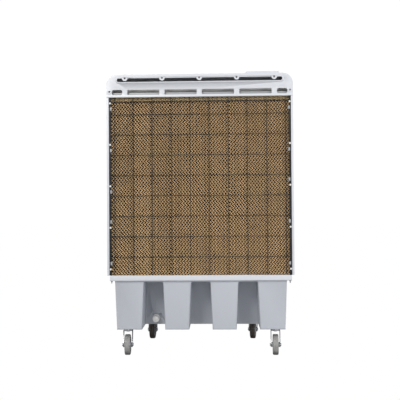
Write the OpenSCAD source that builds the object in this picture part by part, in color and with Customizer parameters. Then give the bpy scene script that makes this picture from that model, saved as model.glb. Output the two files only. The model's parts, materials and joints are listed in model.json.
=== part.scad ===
// Portable evaporative cooler on castors.
// Origin on the floor under the middle of the cabinet. +Z is up, -Y is the
// wet pad side where air goes in, +Y is the outlet side where it comes out.

/* [Cabinet] */
// Width across the pad side
body_w = 900; // [800:10:1100]
// Depth from the cap's slot lip to the outlet frame
body_d = 600; // [560:10:740]
// Height of the cap above the floor
body_h = 1370; // [1300:10:1650]
// Width across the outlet side
front_w = 700; // [690:10:780]
// Depth of the straight bay that holds the pad
bay_d = 128; // [124:2:150]
// Sheet thickness of the side, front and top panels
panel_t = 4; // [3:0.5:6]
// Width of the white flange down each side of the pad
flange_w = 10; // [8:1:20]
// Height that the lip of the slot stands off the cap
lip_h = 2; // [1:0.5:3]

/* [Tank] */
// Height of the tank below its rim
tank_h = 237; // [200:1:300]
// Width of the tank under its rim, pad side
tank_w = 830; // [800:5:840]
// How much narrower the tank is at its floor
tank_draft = 18; // [0:2:30]
// Width of the tank at the outlet side
tank_front_w = 670; // [650:5:690]
// Wall of the tank
tank_wall = 5; // [4:0.5:8]
// Height of the rim
rim_h = 26; // [20:1:40]
// How far the rim stands out beyond the tank
rim_out = 23; // [15:1:24]
// Depth of the three grooves
groove_d = 150; // [60:5:160]
// Distance between grooves
groove_pitch = 229; // [200:1:240]
// Width of a groove at its top
groove_top_w = 94; // [70:1:110]
// Width of a groove at the floor
groove_foot_w = 113; // [80:1:125]
// Gap between a groove and the rim
groove_gap = 7; // [4:1:20]

/* [Castors] */
// Height of a castor, floor to plate
castor_h = 135; // [120:1:160]
// Diameter of the wheel
wheel_d = 100; // [80:5:110]
// Width of the tread
wheel_w = 28; // [22:1:34]
// How far the wheel trails behind its swivel
trail = 32; // [20:1:40]
// Half the distance between the pad side castors
rear_castor_x = 366; // [350:1:370]
// Half the distance between the outlet side castors
front_castor_x = 280; // [250:1:285]
// Distance from the middle to the pad side castors
rear_castor_y = 188; // [170:1:200]
// Distance from the middle to the outlet side castors
front_castor_y = 198; // [170:1:200]
// Diameter of the axle
axle_d = 10; // [8:0.5:14]
// Diameter of the king pin
king_pin_d = 12; // [10:0.5:16]
// Running clearance round every pin
run_gap = 0.05; // [0.02:0.01:0.1]

/* [Cap] */
// Height of the cap
cap_h = 110; // [100:1:140]
// Radius of the cap's two top corners
cap_r = 50; // [20:1:60]
// Wall of the cap
cap_wall = 4; // [3:0.5:6]
// Length of the slot
slot_l = 800; // [700:5:820]
// Height of the slot
slot_h = 18; // [12:1:22]
// Distance from the top of the cap down to the middle of the slot
slot_drop = 27; // [22:1:30]
// Distance between the screw bosses
boss_pitch = 180.5; // [160:0.5:185]
// Diameter of a screw boss on the slot
boss_d = 26; // [20:1:30]
// Width of the rib between two windows
window_rib = 25; // [15:1:40]
// Height of a window
window_h = 25; // [15:1:30]
// Distance from the foot of the cap to the windows
window_up = 11; // [9:1:14]
// Size of the lid on the cap
lid_w = 159; // [120:1:200]
// Depth of the lid
lid_d = 84; // [60:1:90]
// Height that the lid stands above the cap
lid_h = 12; // [6:1:20]
// Middle of the lid from the middle of the cabinet
lid_x = 305; // [280:1:310]

/* [Pads and net] */
// Thickness of the main pad
pad_t = 100; // [80:5:100]
// Thickness of the flat distributor pad
distributor_h = 20; // [15:1:30]
// Distance between upright wires
wire_pitch_x = 92; // [60:1:92]
// Number of upright wires
wires_x = 10; // [6:2:10]
// Distance between level wires
wire_pitch_z = 98.5; // [60:0.5:100]
// Number of level wires
wires_z = 8; // [4:1:8]
// Width of a wire
wire_w = 3; // [2:0.5:4]
// Number of screws down each side
side_screws = 5; // [3:2:5]

/* [Fan] */
// Diameter of the fan
fan_d = 540; // [440:10:560]
// Clearance from the blade tips to the shroud
tip_gap = 8; // [5:1:15]
// Diameter of the fan's hub
hub_d = 130; // [110:2:150]
// Number of blades
blades = 5; // [3:1:7]
// Pitch angle of the blades
blade_pitch = 28; // [15:1:35]
// Depth of the shroud
shroud_d = 100; // [90:2:110]
// Diameter of the motor
motor_d = 120; // [100:2:140]
// Length of the motor
motor_l = 130; // [100:2:140]
// Diameter of the motor's shaft
shaft_d = 14; // [10:0.5:18]

/* [Outlet] */
// Outside size of the outlet frame
outlet_w = 620; // [600:5:640]
// Wall of the outlet frame
outlet_wall = 22; // [18:1:28]
// Depth of the outlet frame
outlet_d = 110; // [104:1:130]
// Chord of a louvre
louvre_w = 50; // [40:1:54]
// Chord of a deflector
deflector_w = 42; // [30:1:44]
// Thickness of louvres and deflectors
vane_t = 4; // [3:0.5:6]
// Diameter of their end pins
vane_pin_d = 8; // [6:0.5:10]

/* [Controls] */
// Width of the control panel
control_w = 420; // [360:5:500]
// Height of the control panel
control_h = 120; // [110:2:140]
// Depth of the control panel
control_d = 26; // [22:1:34]
// Diameter of the speed knob
knob_d = 46; // [36:1:56]
// Diameter of the buttons
button_d = 22; // [16:1:28]
// Travel of a button
button_travel = 3; // [2:0.5:4]

/* [Water] */
// Diameter of the riser hose and spray pipe
pipe_d = 25; // [20:1:30]
// Height of the pump
pump_h = 90; // [70:5:110]
// Diameter of the float
float_d = 60; // [40:2:70]
// Outer diameter of the hose tail
inlet_d = 16; // [12:1:20]
// Bore of the cable gland
gland_bore = 9; // [6:0.5:12]

/* [Hidden] */
$fn = 48;
louvres = 5;
deflectors = 3;

// Cabinet
half_w = body_w / 2;
rear_y = -body_d / 2;
skin_y = rear_y + lip_h;
bay_y = skin_y + bay_d;
front_y = body_d / 2;
face_y = front_y - outlet_d;
plate_y = face_y - panel_t;
rim_z = castor_h + tank_h;
rim_top = rim_z + rim_h;
cap_z = body_h - cap_h;
crown_z = body_h - cap_r;
taper_k = (body_w - front_w) / 2 / (face_y - bay_y);
side_t = panel_t / cos(atan(taper_k));
function side_x(y) = front_w / 2 + taper_k * (face_y - y);

// Tank
rim_back = 12;
tank_y0 = skin_y + rim_back;
rim_front = face_y + 58;
tank_y1 = rim_front - rim_back;
tank_floor = castor_h + tank_wall;
groove_y = tank_y0 + groove_d;
groove_top = rim_z - groove_gap;
groove_r = 10;
mark_w = 46;
mark_h = 18;
mark_line = 3;
mark_up = 2;
rim_half = tank_w / 2 + rim_out;
rim_front_half = tank_front_w / 2 + rim_out;
bolt_inset = 8;
rear_bolt_y = skin_y + bolt_inset;
front_bolt_y = face_y;
rim_bolt_r = 2.5;
rim_bolt_l = 12;
rim_nut_h = 4;

// Drain, in the left groove
drain_z = castor_h + 33;
collar_r = 19;
collar_l = 18;
spigot_r = 11;
spigot_l = 42;
drain_cap_r = 15.5;
drain_cap_l = 30;
drain_cap_y = groove_y - collar_l - 1;
mark_z = drain_z + 30;

// Level window and fill door, in the front wall of the tank
level_w = 30;
level_h = 150;
level_t = 3;
level_z = castor_h + 130;
door_w = 140;
door_h = 60;
door_x = 220;
door_z = rim_z - 90;
door_t = 4;
door_gap = 1;
door_pin_r = 1.5;
door_pin_l = 8;
door_barrel_r = 2.4;

// Castors, numbered pad side left, pad side right, outlet side left, outlet side right
castor_places = [[-rear_castor_x, -rear_castor_y], [rear_castor_x, -rear_castor_y],
  [-front_castor_x, front_castor_y], [front_castor_x, front_castor_y]];
castor_yaw = [4, -4, -2, -9];
plate_size = 60;
plate_t = 4;
race_r = 23;
race_h = 9;
race_gap = 0.5;
race_z = castor_h - plate_t - race_h;
crown_t = 4;
crown_top = race_z - race_gap;
crown_bottom = crown_top - crown_t - 4;
leg_t = 3.5;
leg_gap = 0.5;
hub_l = wheel_w + 11;
leg_x = hub_l / 2 + leg_gap;
leg_r = 13;
axle_end = 4;
pin_head_r = 10;
pin_head_h = 4;
tread_depth = 14;
tread_round = 6;
rim_wall = 4;
castor_bolt_r = 5;
castor_head_h = 3;
castor_shank_r = 2;
castor_bolt_at = plate_size / 2 - 8;

// Cap
slot_z = body_h - slot_drop;
lip_w = 7;
boss_depth = 3;
boss_hole_r = 5;
screw_r = 2;
screw_head_r = 4.4;
screw_head_h = 2;
screw_l = 12;
end_boss_x = half_w - 14;
end_boss_r = 10;
window_z = cap_z + window_up;
end_window_l = 50;
foot_strip = 7;
end_boss_z = window_z + window_h * 0.65;

// Lid on the cap
lid_y0 = skin_y + 16;
lid_y1 = lid_y0 + lid_d;
lid_wall = 3;
lid_rim = 12;
barrel_r = 5;
barrel_y = lid_y1 + barrel_r;
barrel_z = body_h + barrel_r + 1;
lid_pin_r = 2.5;
ear_t = 6;
ear_r = barrel_r - 0.6;

// Net, pads and water
net_y = skin_y + 4;
net_t = 6;
bar_w = 10;
bar_x = half_w - flange_w;
pad_y = skin_y + 12;
pad_gap = 1;
pad_half = bar_x - pad_gap;
pad_end = pad_y + pad_t;
pad_top = cap_z - distributor_h;
stop_t = 3;
stop_w = 32;
side_screw_r = 5;
side_screw_h = 3;
side_screw_x = bar_x - bar_w / 2 - 1;
screw_low = rim_top + 30;
screw_high = cap_z - 28;
clip_w = 9;
clip_h = 16;
clip_drop = 28;
trough_h = 24;
trough_wall = 3;
trough_half = pad_half - 6;
trough_holes = 17;
trough_hole_r = 3;
pipe_y = pad_y + pad_t / 2;
pipe_z = cap_z + trough_h + pipe_d / 2 + 6;
pipe_wall = 3;
spray_holes = 15;
spray_hole_r = 2;

// Pump, riser and float
pump_x = -100;
pump_y = -20;
pump_r = 45;
spigot_up = 24;
valve_x = -200;
valve_z = rim_z - 37;
valve_r = 12;
valve_l = 38;
lug_w = 8;
lug_y = tank_y1 - tank_wall - valve_l + 7;
lug_z = valve_z - valve_r - 5;
lug_r = 8;
float_pin_r = 3;
float_reach = 120;
arm_r = 3;
inlet_l = 36;
inlet_flange_r = 14;
inlet_flange_t = 4;
inlet_bore_r = 5;

// Fan
outlet_z = rim_top + 422;
fan_r = fan_d / 2;
shroud_r = fan_r + tip_gap;
shroud_t = 5;
shroud_y = plate_y - shroud_d;
hub_y0 = shroud_y + 10;
hub_l2 = 70;
hub_mid = hub_y0 + hub_l2 / 2;
blade_t = 4;
blade_w = 124;
motor_r = motor_d / 2;
bearing_l = 30;
shaft_r = shaft_d / 2;
ring_t = 7;
ring_l = 20;
arm_w = 26;
arm_t = 6;

// Outlet
outlet_in = outlet_w - 2 * outlet_wall;
outlet_r = 18;
louvre_y = front_y - 32;
deflector_y = face_y + 26;
vane_gap = 1;
vane_pin_r = vane_pin_d / 2;
vane_pin_l = 12;
louvre_pitch = outlet_in / louvres;
deflector_pitch = outlet_in / deflectors;

// Controls and gland
control_z = outlet_z + outlet_w / 2 + 35 + control_h / 2;
control_y = face_y + control_d;
control_r = 12;
display_w = 150;
display_h = 56;
display_t = 2;
display_x = -110;
knob_x = 140;
knob_h = 20;
knob_gap = 0.5;
spindle_r = 3;
spindle_l = 14;
button_x = [10, 60];
button_gap = 0.3;
button_h = 12;
button_proud = 5;
gland_x = -290;
gland_z = rim_top + 55;
gland_r = 12;
gland_nut_r = 17;
gland_nut_t = 8;
gland_l = 30;
gland_hole_r = 8;
hair = 0.01;

// ---------- outlines ----------

// A plain rectangle with round corners, centred
module round_rect(w, h, r) {
  square([w - 2 * r, h], center = true);
  square([w, h - 2 * r], center = true);
  for (x = [-1, 1], y = [-1, 1]) translate([x * (w / 2 - r), y * (h / 2 - r)]) circle(r);
}

// Draws a shape seen from the pad side and makes it solid from y0 to y1
module upright(y0, y1) {
  translate([0, y1, 0]) rotate([90, 0, 0]) linear_extrude(y1 - y0) children();
}

// A straight rod along X, Y or Z
module rod_x(r, x0, x1) { translate([x0, 0, 0]) rotate([0, 90, 0]) cylinder(r = r, h = x1 - x0); }
module rod_y(r, y0, y1) { translate([0, y1, 0]) rotate([90, 0, 0]) cylinder(r = r, h = y1 - y0); }

// The cabinet's outline with two round top corners
module arch(w, z0, z1, r) {
  translate([-w / 2, z0]) square([w, z1 - z0 - r]);
  translate([-w / 2 + r, z0]) square([w - 2 * r, z1 - z0]);
  for (s = [-1, 1]) translate([s * (w / 2 - r), z1 - r]) circle(r);
}

// Floor plan with straight sides in the pad bay, narrowing to the outlet side
module plan(rear, front, y0, y1) {
  polygon([[-rear, y0], [rear, y0], [rear, bay_y], [front, y1], [-front, y1], [-rear, bay_y]]);
}

// ---------- tank ----------

// One groove, wider at the floor, with round top corners, grown by g all round
module groove_outline(g) {
  top = groove_top + g;
  r = groove_r + g;
  half = groove_top_w / 2 + g;
  foot = groove_foot_w / 2 + g;
  polygon(concat([[-foot, castor_h - g], [foot, castor_h - g]],
    [for (a = [0:15:90]) [half - r + r * cos(a), top - r + r * sin(a)]],
    [for (a = [90:15:180]) [-half + r + r * cos(a), top - r + r * sin(a)]]));
}

// The body of the tank, drawn in by inset, with its three grooves
module tank_body(inset, z0, z1) {
  difference() {
    intersection() {
      translate([0, 0, z0]) linear_extrude(z1 - z0)
        plan(tank_w / 2 - inset, tank_front_w / 2 - inset, tank_y0 + inset, tank_y1 - inset);
      upright(tank_y0, tank_y1) polygon([
        [-tank_w / 2 + tank_draft / 2 + inset, castor_h], [tank_w / 2 - tank_draft / 2 - inset, castor_h],
        [tank_w / 2 - inset, rim_z], [tank_w / 2 - inset, rim_top + 1],
        [-tank_w / 2 + inset, rim_top + 1], [-tank_w / 2 + inset, rim_z]]);
    }
    for (x = [-1:1]) translate([x * groove_pitch, 0, 0])
      upright(tank_y0 - 1, groove_y + inset) groove_outline(inset);
  }
}

module tank_bolt_places() {
  for (s = [-1, 1]) {
    translate([s * (rim_half - bolt_inset), rear_bolt_y, rim_z]) children();
    translate([s * rim_front_half, front_bolt_y, rim_z]) children();
  }
}

module groove_zones(g) {
  for (x = [-1:1]) translate([x * groove_pitch, 0, 0])
    upright(tank_y0 - 1, groove_y + g) groove_outline(g);
}

// The floor, with the three grooves open through it
module tank_floor_plate() { color([0.70, 0.73, 0.78]) tank_body(0, castor_h, tank_floor); }

// The walls and the rim, cut away where the grooves fold in
module tank_walls() {
  color([0.70, 0.73, 0.78]) difference() {
    union() {
      tank_body(0, tank_floor, rim_top);
      translate([0, 0, rim_z]) linear_extrude(rim_h) plan(rim_half, rim_front_half, skin_y, rim_front);
    }
    tank_body(tank_wall, tank_floor - 1, rim_top + 1);
    groove_zones(tank_wall);
    translate([0, 0, level_z]) upright(tank_y1 - tank_wall - 1, tank_y1 + 1)
      round_rect(level_w - 16, level_h - 20, 6);
    translate([door_x, tank_y1, door_z + door_h / 2])
      cube([door_w + 2 * door_gap, 4 * tank_wall, door_h + 2 * door_gap], center = true);
    translate([door_x, tank_y1 - tank_wall / 2, door_z + door_barrel_r])
      rod_x(door_pin_r + run_gap, -door_w / 2 - door_pin_l - 1, door_w / 2 + door_pin_l + 1);
    translate([valve_x, 0, valve_z]) rod_y(inlet_bore_r + 2, tank_y1 - tank_wall - 1, tank_y1 + 1);
  }
}

// The three folds, each with its sides, top and back
module tank_grooves() {
  color([0.70, 0.73, 0.78]) difference() {
    union() {
      intersection() {
        tank_body(0, tank_floor, rim_top);
        groove_zones(tank_wall);
      }
      // raised oval ring above the drain, with two dots in it
      translate([-groove_pitch, 0, mark_z]) {
        upright(groove_y - mark_up, groove_y + 1) difference() {
          round_rect(mark_w, mark_h, mark_h / 2 - hair);
          round_rect(mark_w - 2 * mark_line, mark_h - 2 * mark_line, mark_h / 2 - mark_line - hair);
        }
        for (s = [-1, 1]) translate([s * mark_w / 5, 0, 0]) rod_y(mark_line, groove_y - mark_up, groove_y + 1);
      }
    }
    translate([-groove_pitch, 0, drain_z]) rod_y(spigot_r - 3, groove_y - 1, groove_y + tank_wall + 1);
  }
}

// Bolts up through the rim, and four under each castor plate
module tank_bolts() {
  color([0.60, 0.61, 0.63]) {
    tank_bolt_places() translate([0, 0, -rim_bolt_l]) {
      cylinder(r = rim_bolt_r, h = rim_bolt_l);
      translate([0, 0, rim_bolt_l - rim_nut_h]) cylinder(r = 2 * rim_bolt_r, h = rim_nut_h, $fn = 6);
    }
    for (i = [0:3], x = [-1, 1], y = [-1, 1])
      translate([castor_places[i][0] + x * castor_bolt_at, castor_places[i][1] + y * castor_bolt_at, 0]) {
        translate([0, 0, castor_h - plate_t - castor_head_h]) cylinder(r = castor_bolt_r, h = castor_head_h, $fn = 6);
        translate([0, 0, castor_h - plate_t]) cylinder(r = castor_shank_r, h = plate_t);
      }
  }
}

module drain_collar() {
  color([0.86, 0.88, 0.90]) translate([-groove_pitch, 0, drain_z]) difference() {
    union() {
      rod_y(collar_r, groove_y - collar_l, groove_y);
      rod_y(spigot_r, groove_y - spigot_l, groove_y);
    }
    rod_y(spigot_r - 3, groove_y - spigot_l - 1, groove_y + 1);
  }
}

module drain_cap() {
  color([0.95, 0.95, 0.94]) translate([-groove_pitch, 0, drain_z]) difference() {
    union() {
      rod_y(drain_cap_r, drain_cap_y - drain_cap_l, drain_cap_y);
      rod_y(6, drain_cap_y - drain_cap_l - 3, drain_cap_y);
    }
    rod_y(spigot_r + run_gap, drain_cap_y - drain_cap_l + 4, drain_cap_y + 1);
    for (a = [0:30:330]) rotate([0, a, 0]) translate([drain_cap_r + 0.8, 0, 0])
      rod_y(1.8, drain_cap_y - drain_cap_l - 1, drain_cap_y - 6);
  }
}

module level_window() {
  color([0.75, 0.85, 0.92]) translate([0, 0, level_z])
    upright(tank_y1, tank_y1 + level_t) round_rect(level_w, level_h, 8);
}

module fill_door() {
  color([0.83, 0.85, 0.89]) translate([door_x, tank_y1 - tank_wall / 2, door_z + door_barrel_r]) {
    rod_x(door_barrel_r, -door_w / 2, door_w / 2);
    rod_x(door_pin_r, -door_w / 2 - door_pin_l, door_w / 2 + door_pin_l);
    translate([-door_w / 2, -door_t / 2, 0]) cube([door_w, door_t, door_h - door_barrel_r]);
    translate([-20, 0, door_h - door_barrel_r - 6]) cube([40, 14, 4]);
  }
}

// ---------- castors ----------

module at_castor(i) {
  translate([castor_places[i][0], castor_places[i][1], 0]) rotate([0, 0, castor_yaw[i]]) children();
}

module castor_plates() {
  color([0.80, 0.81, 0.83]) for (i = [0:3]) translate([castor_places[i][0], castor_places[i][1], 0])
    difference() {
      union() {
        translate([-plate_size / 2, -plate_size / 2, castor_h - plate_t])
          cube([plate_size, plate_size, plate_t]);
        translate([0, 0, race_z]) cylinder(r = race_r, h = race_h);
        translate([0, 0, crown_bottom - pin_head_h - race_gap])
          cylinder(r = king_pin_d / 2, h = castor_h - crown_bottom);
        translate([0, 0, crown_bottom - pin_head_h - race_gap])
          cylinder(r = pin_head_r, h = pin_head_h, $fn = 6);
      }
      for (x = [-1, 1], y = [-1, 1])
        translate([x * castor_bolt_at, y * castor_bolt_at, castor_h - plate_t - 1])
          cylinder(r = castor_shank_r + 0.2, h = plate_t + 2);
    }
}

module castor_fork(i) {
  color([0.82, 0.83, 0.85]) at_castor(i) difference() {
    union() {
      translate([0, 0, crown_bottom]) cylinder(r = race_r, h = crown_top - crown_bottom);
      translate([-leg_x - leg_t, -race_r + 3, crown_bottom])
        cube([2 * (leg_x + leg_t), 2 * race_r - 6, crown_t]);
      for (x = [-leg_x - leg_t, leg_x]) translate([x, 0, 0]) rotate([90, 0, 90])
        linear_extrude(leg_t) {
          polygon([[-race_r + 3, crown_bottom + crown_t], [race_r - 3, crown_bottom + crown_t],
            [-trail + leg_r, wheel_d / 2], [-trail - leg_r, wheel_d / 2]]);
          translate([-trail, wheel_d / 2]) circle(leg_r);
        }
      translate([0, -trail, wheel_d / 2]) {
        rod_x(axle_d / 2, -leg_x - leg_t - axle_end, leg_x + leg_t + axle_end);
        for (x = [-leg_x - leg_t - axle_end, leg_x + leg_t])
          translate([x, 0, 0]) rotate([0, 90, 0]) cylinder(r = axle_d * 0.8, h = axle_end, $fn = 6);
      }
    }
    translate([0, 0, crown_bottom - 1]) cylinder(r = king_pin_d / 2 + run_gap, h = crown_top);
  }
}

module at_axle(i) { at_castor(i) translate([0, -trail, wheel_d / 2]) rotate([0, 90, 0]) children(); }

module wheel_hub(i) {
  tread_in = wheel_d / 2 - tread_depth;
  color([0.72, 0.73, 0.75]) at_axle(i) difference() {
    union() {
      cylinder(r = axle_d / 2 + 7, h = hub_l, center = true);
      cylinder(r = tread_in, h = wheel_w - 4, center = true);
    }
    for (s = [-1, 1]) translate([0, 0, s * (wheel_w / 2 + 3)]) difference() {
      cylinder(r = tread_in - rim_wall, h = wheel_w - 4, center = true);
      cylinder(r = axle_d / 2 + 7, h = wheel_w, center = true);
    }
    cylinder(r = axle_d / 2 + run_gap, h = hub_l + 2, center = true);
  }
}

module wheel_tyre(i) {
  tread_in = wheel_d / 2 - tread_depth;
  flat = wheel_w / 2 - tread_round;
  color([0.45, 0.45, 0.46]) at_axle(i) rotate_extrude() {
    translate([tread_in, -wheel_w / 2]) square([tread_depth - tread_round, wheel_w]);
    translate([tread_in, -flat]) square([tread_depth, 2 * flat]);
    for (s = [-1, 1]) translate([wheel_d / 2 - tread_round, s * flat]) circle(tread_round);
  }
}

// ---------- cabinet ----------

// Floor plan of one side panel: flange beside the pad, pad stop, sloping wall
module side_plan() {
  polygon([[half_w, skin_y], [half_w, bay_y], [side_x(plate_y), plate_y],
    [side_x(plate_y) - side_t, plate_y], [half_w - side_t, bay_y], [bar_x, bay_y],
    [bar_x, pad_end + stop_t], [bar_x - stop_w, pad_end + stop_t], [bar_x - stop_w, pad_end],
    [bar_x, pad_end], [bar_x, skin_y]]);
}

module side_wall_plan() {
  polygon([[half_w, bay_y], [side_x(plate_y), plate_y], [side_x(plate_y) - side_t, plate_y],
    [half_w - side_t, bay_y]]);
}

module side_panel() {
  color([0.84, 0.86, 0.90]) {
    translate([0, 0, rim_top]) linear_extrude(cap_z - rim_top) side_plan();
    translate([0, 0, cap_z - 1]) linear_extrude(crown_z - cap_z + 1) side_wall_plan();
  }
}

module right_side_panel() { side_panel(); }
module left_side_panel() { mirror([1, 0, 0]) side_panel(); }

module front_panel() {
  color([0.84, 0.86, 0.90]) difference() {
    union() {
      upright(plate_y, face_y) arch(front_w, rim_top, body_h, cap_r);
      // ledge that covers the tank in front of the panel
      translate([0, 0, rim_top]) linear_extrude(panel_t)
        polygon([[-front_w / 2, plate_y], [front_w / 2, plate_y], [rim_front_half, rim_front],
          [-rim_front_half, rim_front]]);
    }
    translate([0, 0, outlet_z]) rod_y(shroud_r, plate_y - 1, face_y + 1);
    translate([gland_x, 0, gland_z]) rod_y(gland_hole_r, plate_y - 1, face_y + 1);
  }
}

// Cuts the sloping top corner round along the side, at radius r and inset
module corner_cut(inset) {
  r = cap_r - inset;
  side_l = face_y - bay_y;
  angle = atan(taper_k);
  translate([half_w - inset / cos(angle), bay_y, body_h - inset]) rotate([0, 0, angle])
    difference() {
      translate([-r, -side_l, -r]) cube([3 * r, 3 * side_l, 3 * r]);
      translate([-r, 0, -r]) rod_y(r, -side_l - 1, 2 * side_l + 1);
    }
}

module crown_block(inset, z0, y1) {
  difference() {
    translate([0, 0, z0]) linear_extrude(body_h - inset - z0)
      polygon([[half_w - side_t * inset / panel_t, bay_y], [side_x(y1) - side_t * inset / panel_t, y1],
        [-side_x(y1) + side_t * inset / panel_t, y1], [-half_w + side_t * inset / panel_t, bay_y]]);
    corner_cut(inset);
    mirror([1, 0, 0]) corner_cut(inset);
  }
}

module top_panel() {
  color([0.84, 0.86, 0.90]) difference() {
    crown_block(0, crown_z, plate_y);
    translate([0, 0, -hair]) crown_block(panel_t, crown_z - 1, plate_y);
    translate([0, bay_y, crown_z + (cap_r - panel_t) / 2])
      cube([body_w - 2 * cap_r, 2, cap_r - panel_t + 2], center = true);
  }
}

// ---------- cap ----------

boss_x = [for (k = [-2:2]) k * boss_pitch];
window_w = boss_pitch - window_rib;

module slot_outline(grow) {
  round_rect(slot_l + 2 * grow, slot_h + 2 * grow, slot_h / 2 + grow - hair);
}

module rear_cap() {
  color([0.84, 0.86, 0.90]) difference() {
    union() {
      difference() {
        upright(skin_y, bay_y) arch(body_w, cap_z, body_h, cap_r);
        upright(skin_y + cap_wall, bay_y + 1)
          arch(body_w - 2 * cap_wall, cap_z - 1, body_h - cap_wall, cap_r - cap_wall);
      }
      translate([0, 0, slot_z]) upright(rear_y, skin_y) slot_outline(lip_w);
      upright(rear_y, skin_y) translate([-half_w, cap_z]) square([body_w, foot_strip]);
      for (s = [-1, 1]) {
        translate([s * end_boss_x, 0, end_boss_z]) rod_y(end_boss_r, rear_y, skin_y);
        translate([lid_x + s * (lid_w / 2 + ear_t / 2 - 4), barrel_y, body_h])
          translate([-ear_t / 2, -ear_r, -1]) cube([ear_t, 2 * ear_r, barrel_z - body_h + 1]);
        translate([lid_x + s * (lid_w / 2 + ear_t / 2 - 4), barrel_y, barrel_z])
          rod_x(ear_r, -ear_t / 2, ear_t / 2);
      }
    }
    difference() {
      translate([0, 0, slot_z]) upright(rear_y - 1, skin_y + cap_wall + 1) slot_outline(0);
      for (x = boss_x) translate([x, 0, slot_z + slot_h / 2]) rod_y(boss_d / 2, rear_y - 2, skin_y + cap_wall + 2);
    }
    for (x = boss_x) translate([x, 0, slot_z + slot_h / 2]) {
      rod_y(boss_hole_r, rear_y - 1, rear_y + boss_depth);
      rod_y(screw_r + 0.2, rear_y - 1, skin_y + cap_wall + 1);
    }
    for (s = [-1, 1]) translate([s * end_boss_x, 0, end_boss_z]) {
      rod_y(boss_hole_r, rear_y - 1, rear_y + boss_depth);
      rod_y(screw_r + 0.2, rear_y - 1, skin_y + cap_wall + 1);
    }
    for (x = [-1.5, -0.5, 0.5, 1.5]) translate([x * boss_pitch, 0, window_z + window_h / 2])
      upright(rear_y - 1, skin_y + cap_wall + 1) round_rect(window_w, window_h, 4);
    for (s = [-1, 1]) translate([s * (2 * boss_pitch + window_rib / 2 + end_window_l / 2), 0,
      window_z + window_h / 2])
      upright(rear_y - 1, skin_y + cap_wall + 1) round_rect(end_window_l, window_h, 9);
    translate([lid_x - lid_w / 2 + lid_rim, lid_y0 + lid_rim, body_h - cap_wall - 1])
      cube([lid_w - 2 * lid_rim, lid_d - 2 * lid_rim, cap_wall + 2]);
    translate([lid_x, barrel_y, barrel_z]) rod_x(lid_pin_r + run_gap, -lid_w, lid_w);
  }
}

module cap_screw() {
  rod_y(screw_head_r, rear_y + boss_depth - screw_head_h, rear_y + boss_depth);
  rod_y(screw_r, rear_y + boss_depth, rear_y + boss_depth + screw_l);
}

module cap_screws() {
  color([0.30, 0.30, 0.32]) {
    for (x = boss_x) translate([x, 0, slot_z + slot_h / 2]) cap_screw();
    for (s = [-1, 1]) translate([s * end_boss_x, 0, end_boss_z]) cap_screw();
  }
}

module top_lid() {
  barrel_half = lid_w / 2 - 4 - 0.5;
  color([0.84, 0.86, 0.90]) {
    difference() {
      translate([lid_x, (lid_y0 + lid_y1) / 2, body_h]) linear_extrude(lid_h) round_rect(lid_w, lid_d, 8);
      translate([lid_x, (lid_y0 + lid_y1) / 2, body_h - 1])
        linear_extrude(lid_h + 1 - lid_wall) round_rect(lid_w - 2 * lid_wall, lid_d - 2 * lid_wall, 5);
    }
    translate([lid_x, barrel_y, barrel_z]) {
      rod_x(barrel_r, -barrel_half, barrel_half);
      rod_x(lid_pin_r, -barrel_half - ear_t, barrel_half + ear_t);
    }
    translate([lid_x - barrel_half, lid_y1 - 1, barrel_z - 2]) cube([2 * barrel_half, barrel_r, 4]);
  }
}

// ---------- net and pads ----------

module side_screw_places() {
  for (s = [-1, 1], k = [0:side_screws - 1])
    translate([s * side_screw_x, net_y, screw_low + k * (screw_high - screw_low) / (side_screws - 1)])
      children();
}

module pad_net() {
  net_top = cap_z - 1;
  color([0.08, 0.08, 0.08]) difference() {
    union() {
      for (s = [-1, 1]) translate([s * (bar_x - bar_w / 2) - bar_w / 2, net_y, rim_top])
        cube([bar_w, net_t, net_top - rim_top]);
      for (k = [0:wires_x - 1])
        translate([(k - (wires_x - 1) / 2) * wire_pitch_x - wire_w / 2, net_y + net_t / 2 - wire_w, rim_top])
          cube([wire_w, wire_w, net_top - rim_top]);
      for (k = [0:wires_z - 1])
        translate([-bar_x + 1, net_y + net_t / 2 - 0.5, rim_top + wire_pitch_z * (k + 0.9) - wire_w / 2])
          cube([2 * bar_x - 2, wire_w, wire_w]);
      translate([-bar_x + 1, net_y + net_t / 2 - 0.5, pad_top - wire_w / 2]) cube([2 * bar_x - 2, wire_w, wire_w]);
    }
    side_screw_places() rod_y(screw_r + 0.1, -1, net_t + 1);
  }
}

module net_screws() {
  color([0.95, 0.95, 0.95]) side_screw_places() {
    rod_y(side_screw_r, -side_screw_h, 0);
    rod_y(screw_r, -1, net_t + 1);
  }
}

module net_clips() {
  color([0.55, 0.56, 0.58]) for (s = [-1, 1], k = [0:side_screws - 1]) {
    z = screw_low + k * (screw_high - screw_low) / (side_screws - 1);
    mid = (screw_low + screw_high) / 2;
    drop = (z > mid + 1 || (z > mid - 1 && s < 0)) ? -clip_drop : clip_drop;
    translate([s * (bar_x - bar_w) - clip_w / 2, net_y - 2, z + drop - clip_h / 2])
      cube([clip_w, 2, clip_h]);
  }
}

module main_pad() {
  color([0.62, 0.47, 0.30]) translate([-pad_half, pad_y, rim_top])
    cube([2 * pad_half, pad_t, pad_top - rim_top]);
}

module distributor_pad() {
  color([0.78, 0.64, 0.44]) translate([-pad_half, pad_y, pad_top])
    cube([2 * pad_half, pad_t, distributor_h]);
}

module water_trough() {
  color([0.75, 0.76, 0.78]) difference() {
    translate([-trough_half, pad_y + 2, cap_z]) cube([2 * trough_half, pad_t - 4, trough_h]);
    translate([-trough_half + trough_wall, pad_y + 2 + trough_wall, cap_z + trough_wall])
      cube([2 * (trough_half - trough_wall), pad_t - 4 - 2 * trough_wall, trough_h]);
    for (k = [0:trough_holes - 1])
      translate([(k - (trough_holes - 1) / 2) * (2 * trough_half - 40) / (trough_holes - 1), pipe_y, cap_z - 1])
        cylinder(r = trough_hole_r, h = trough_wall + 2);
  }
}

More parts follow.
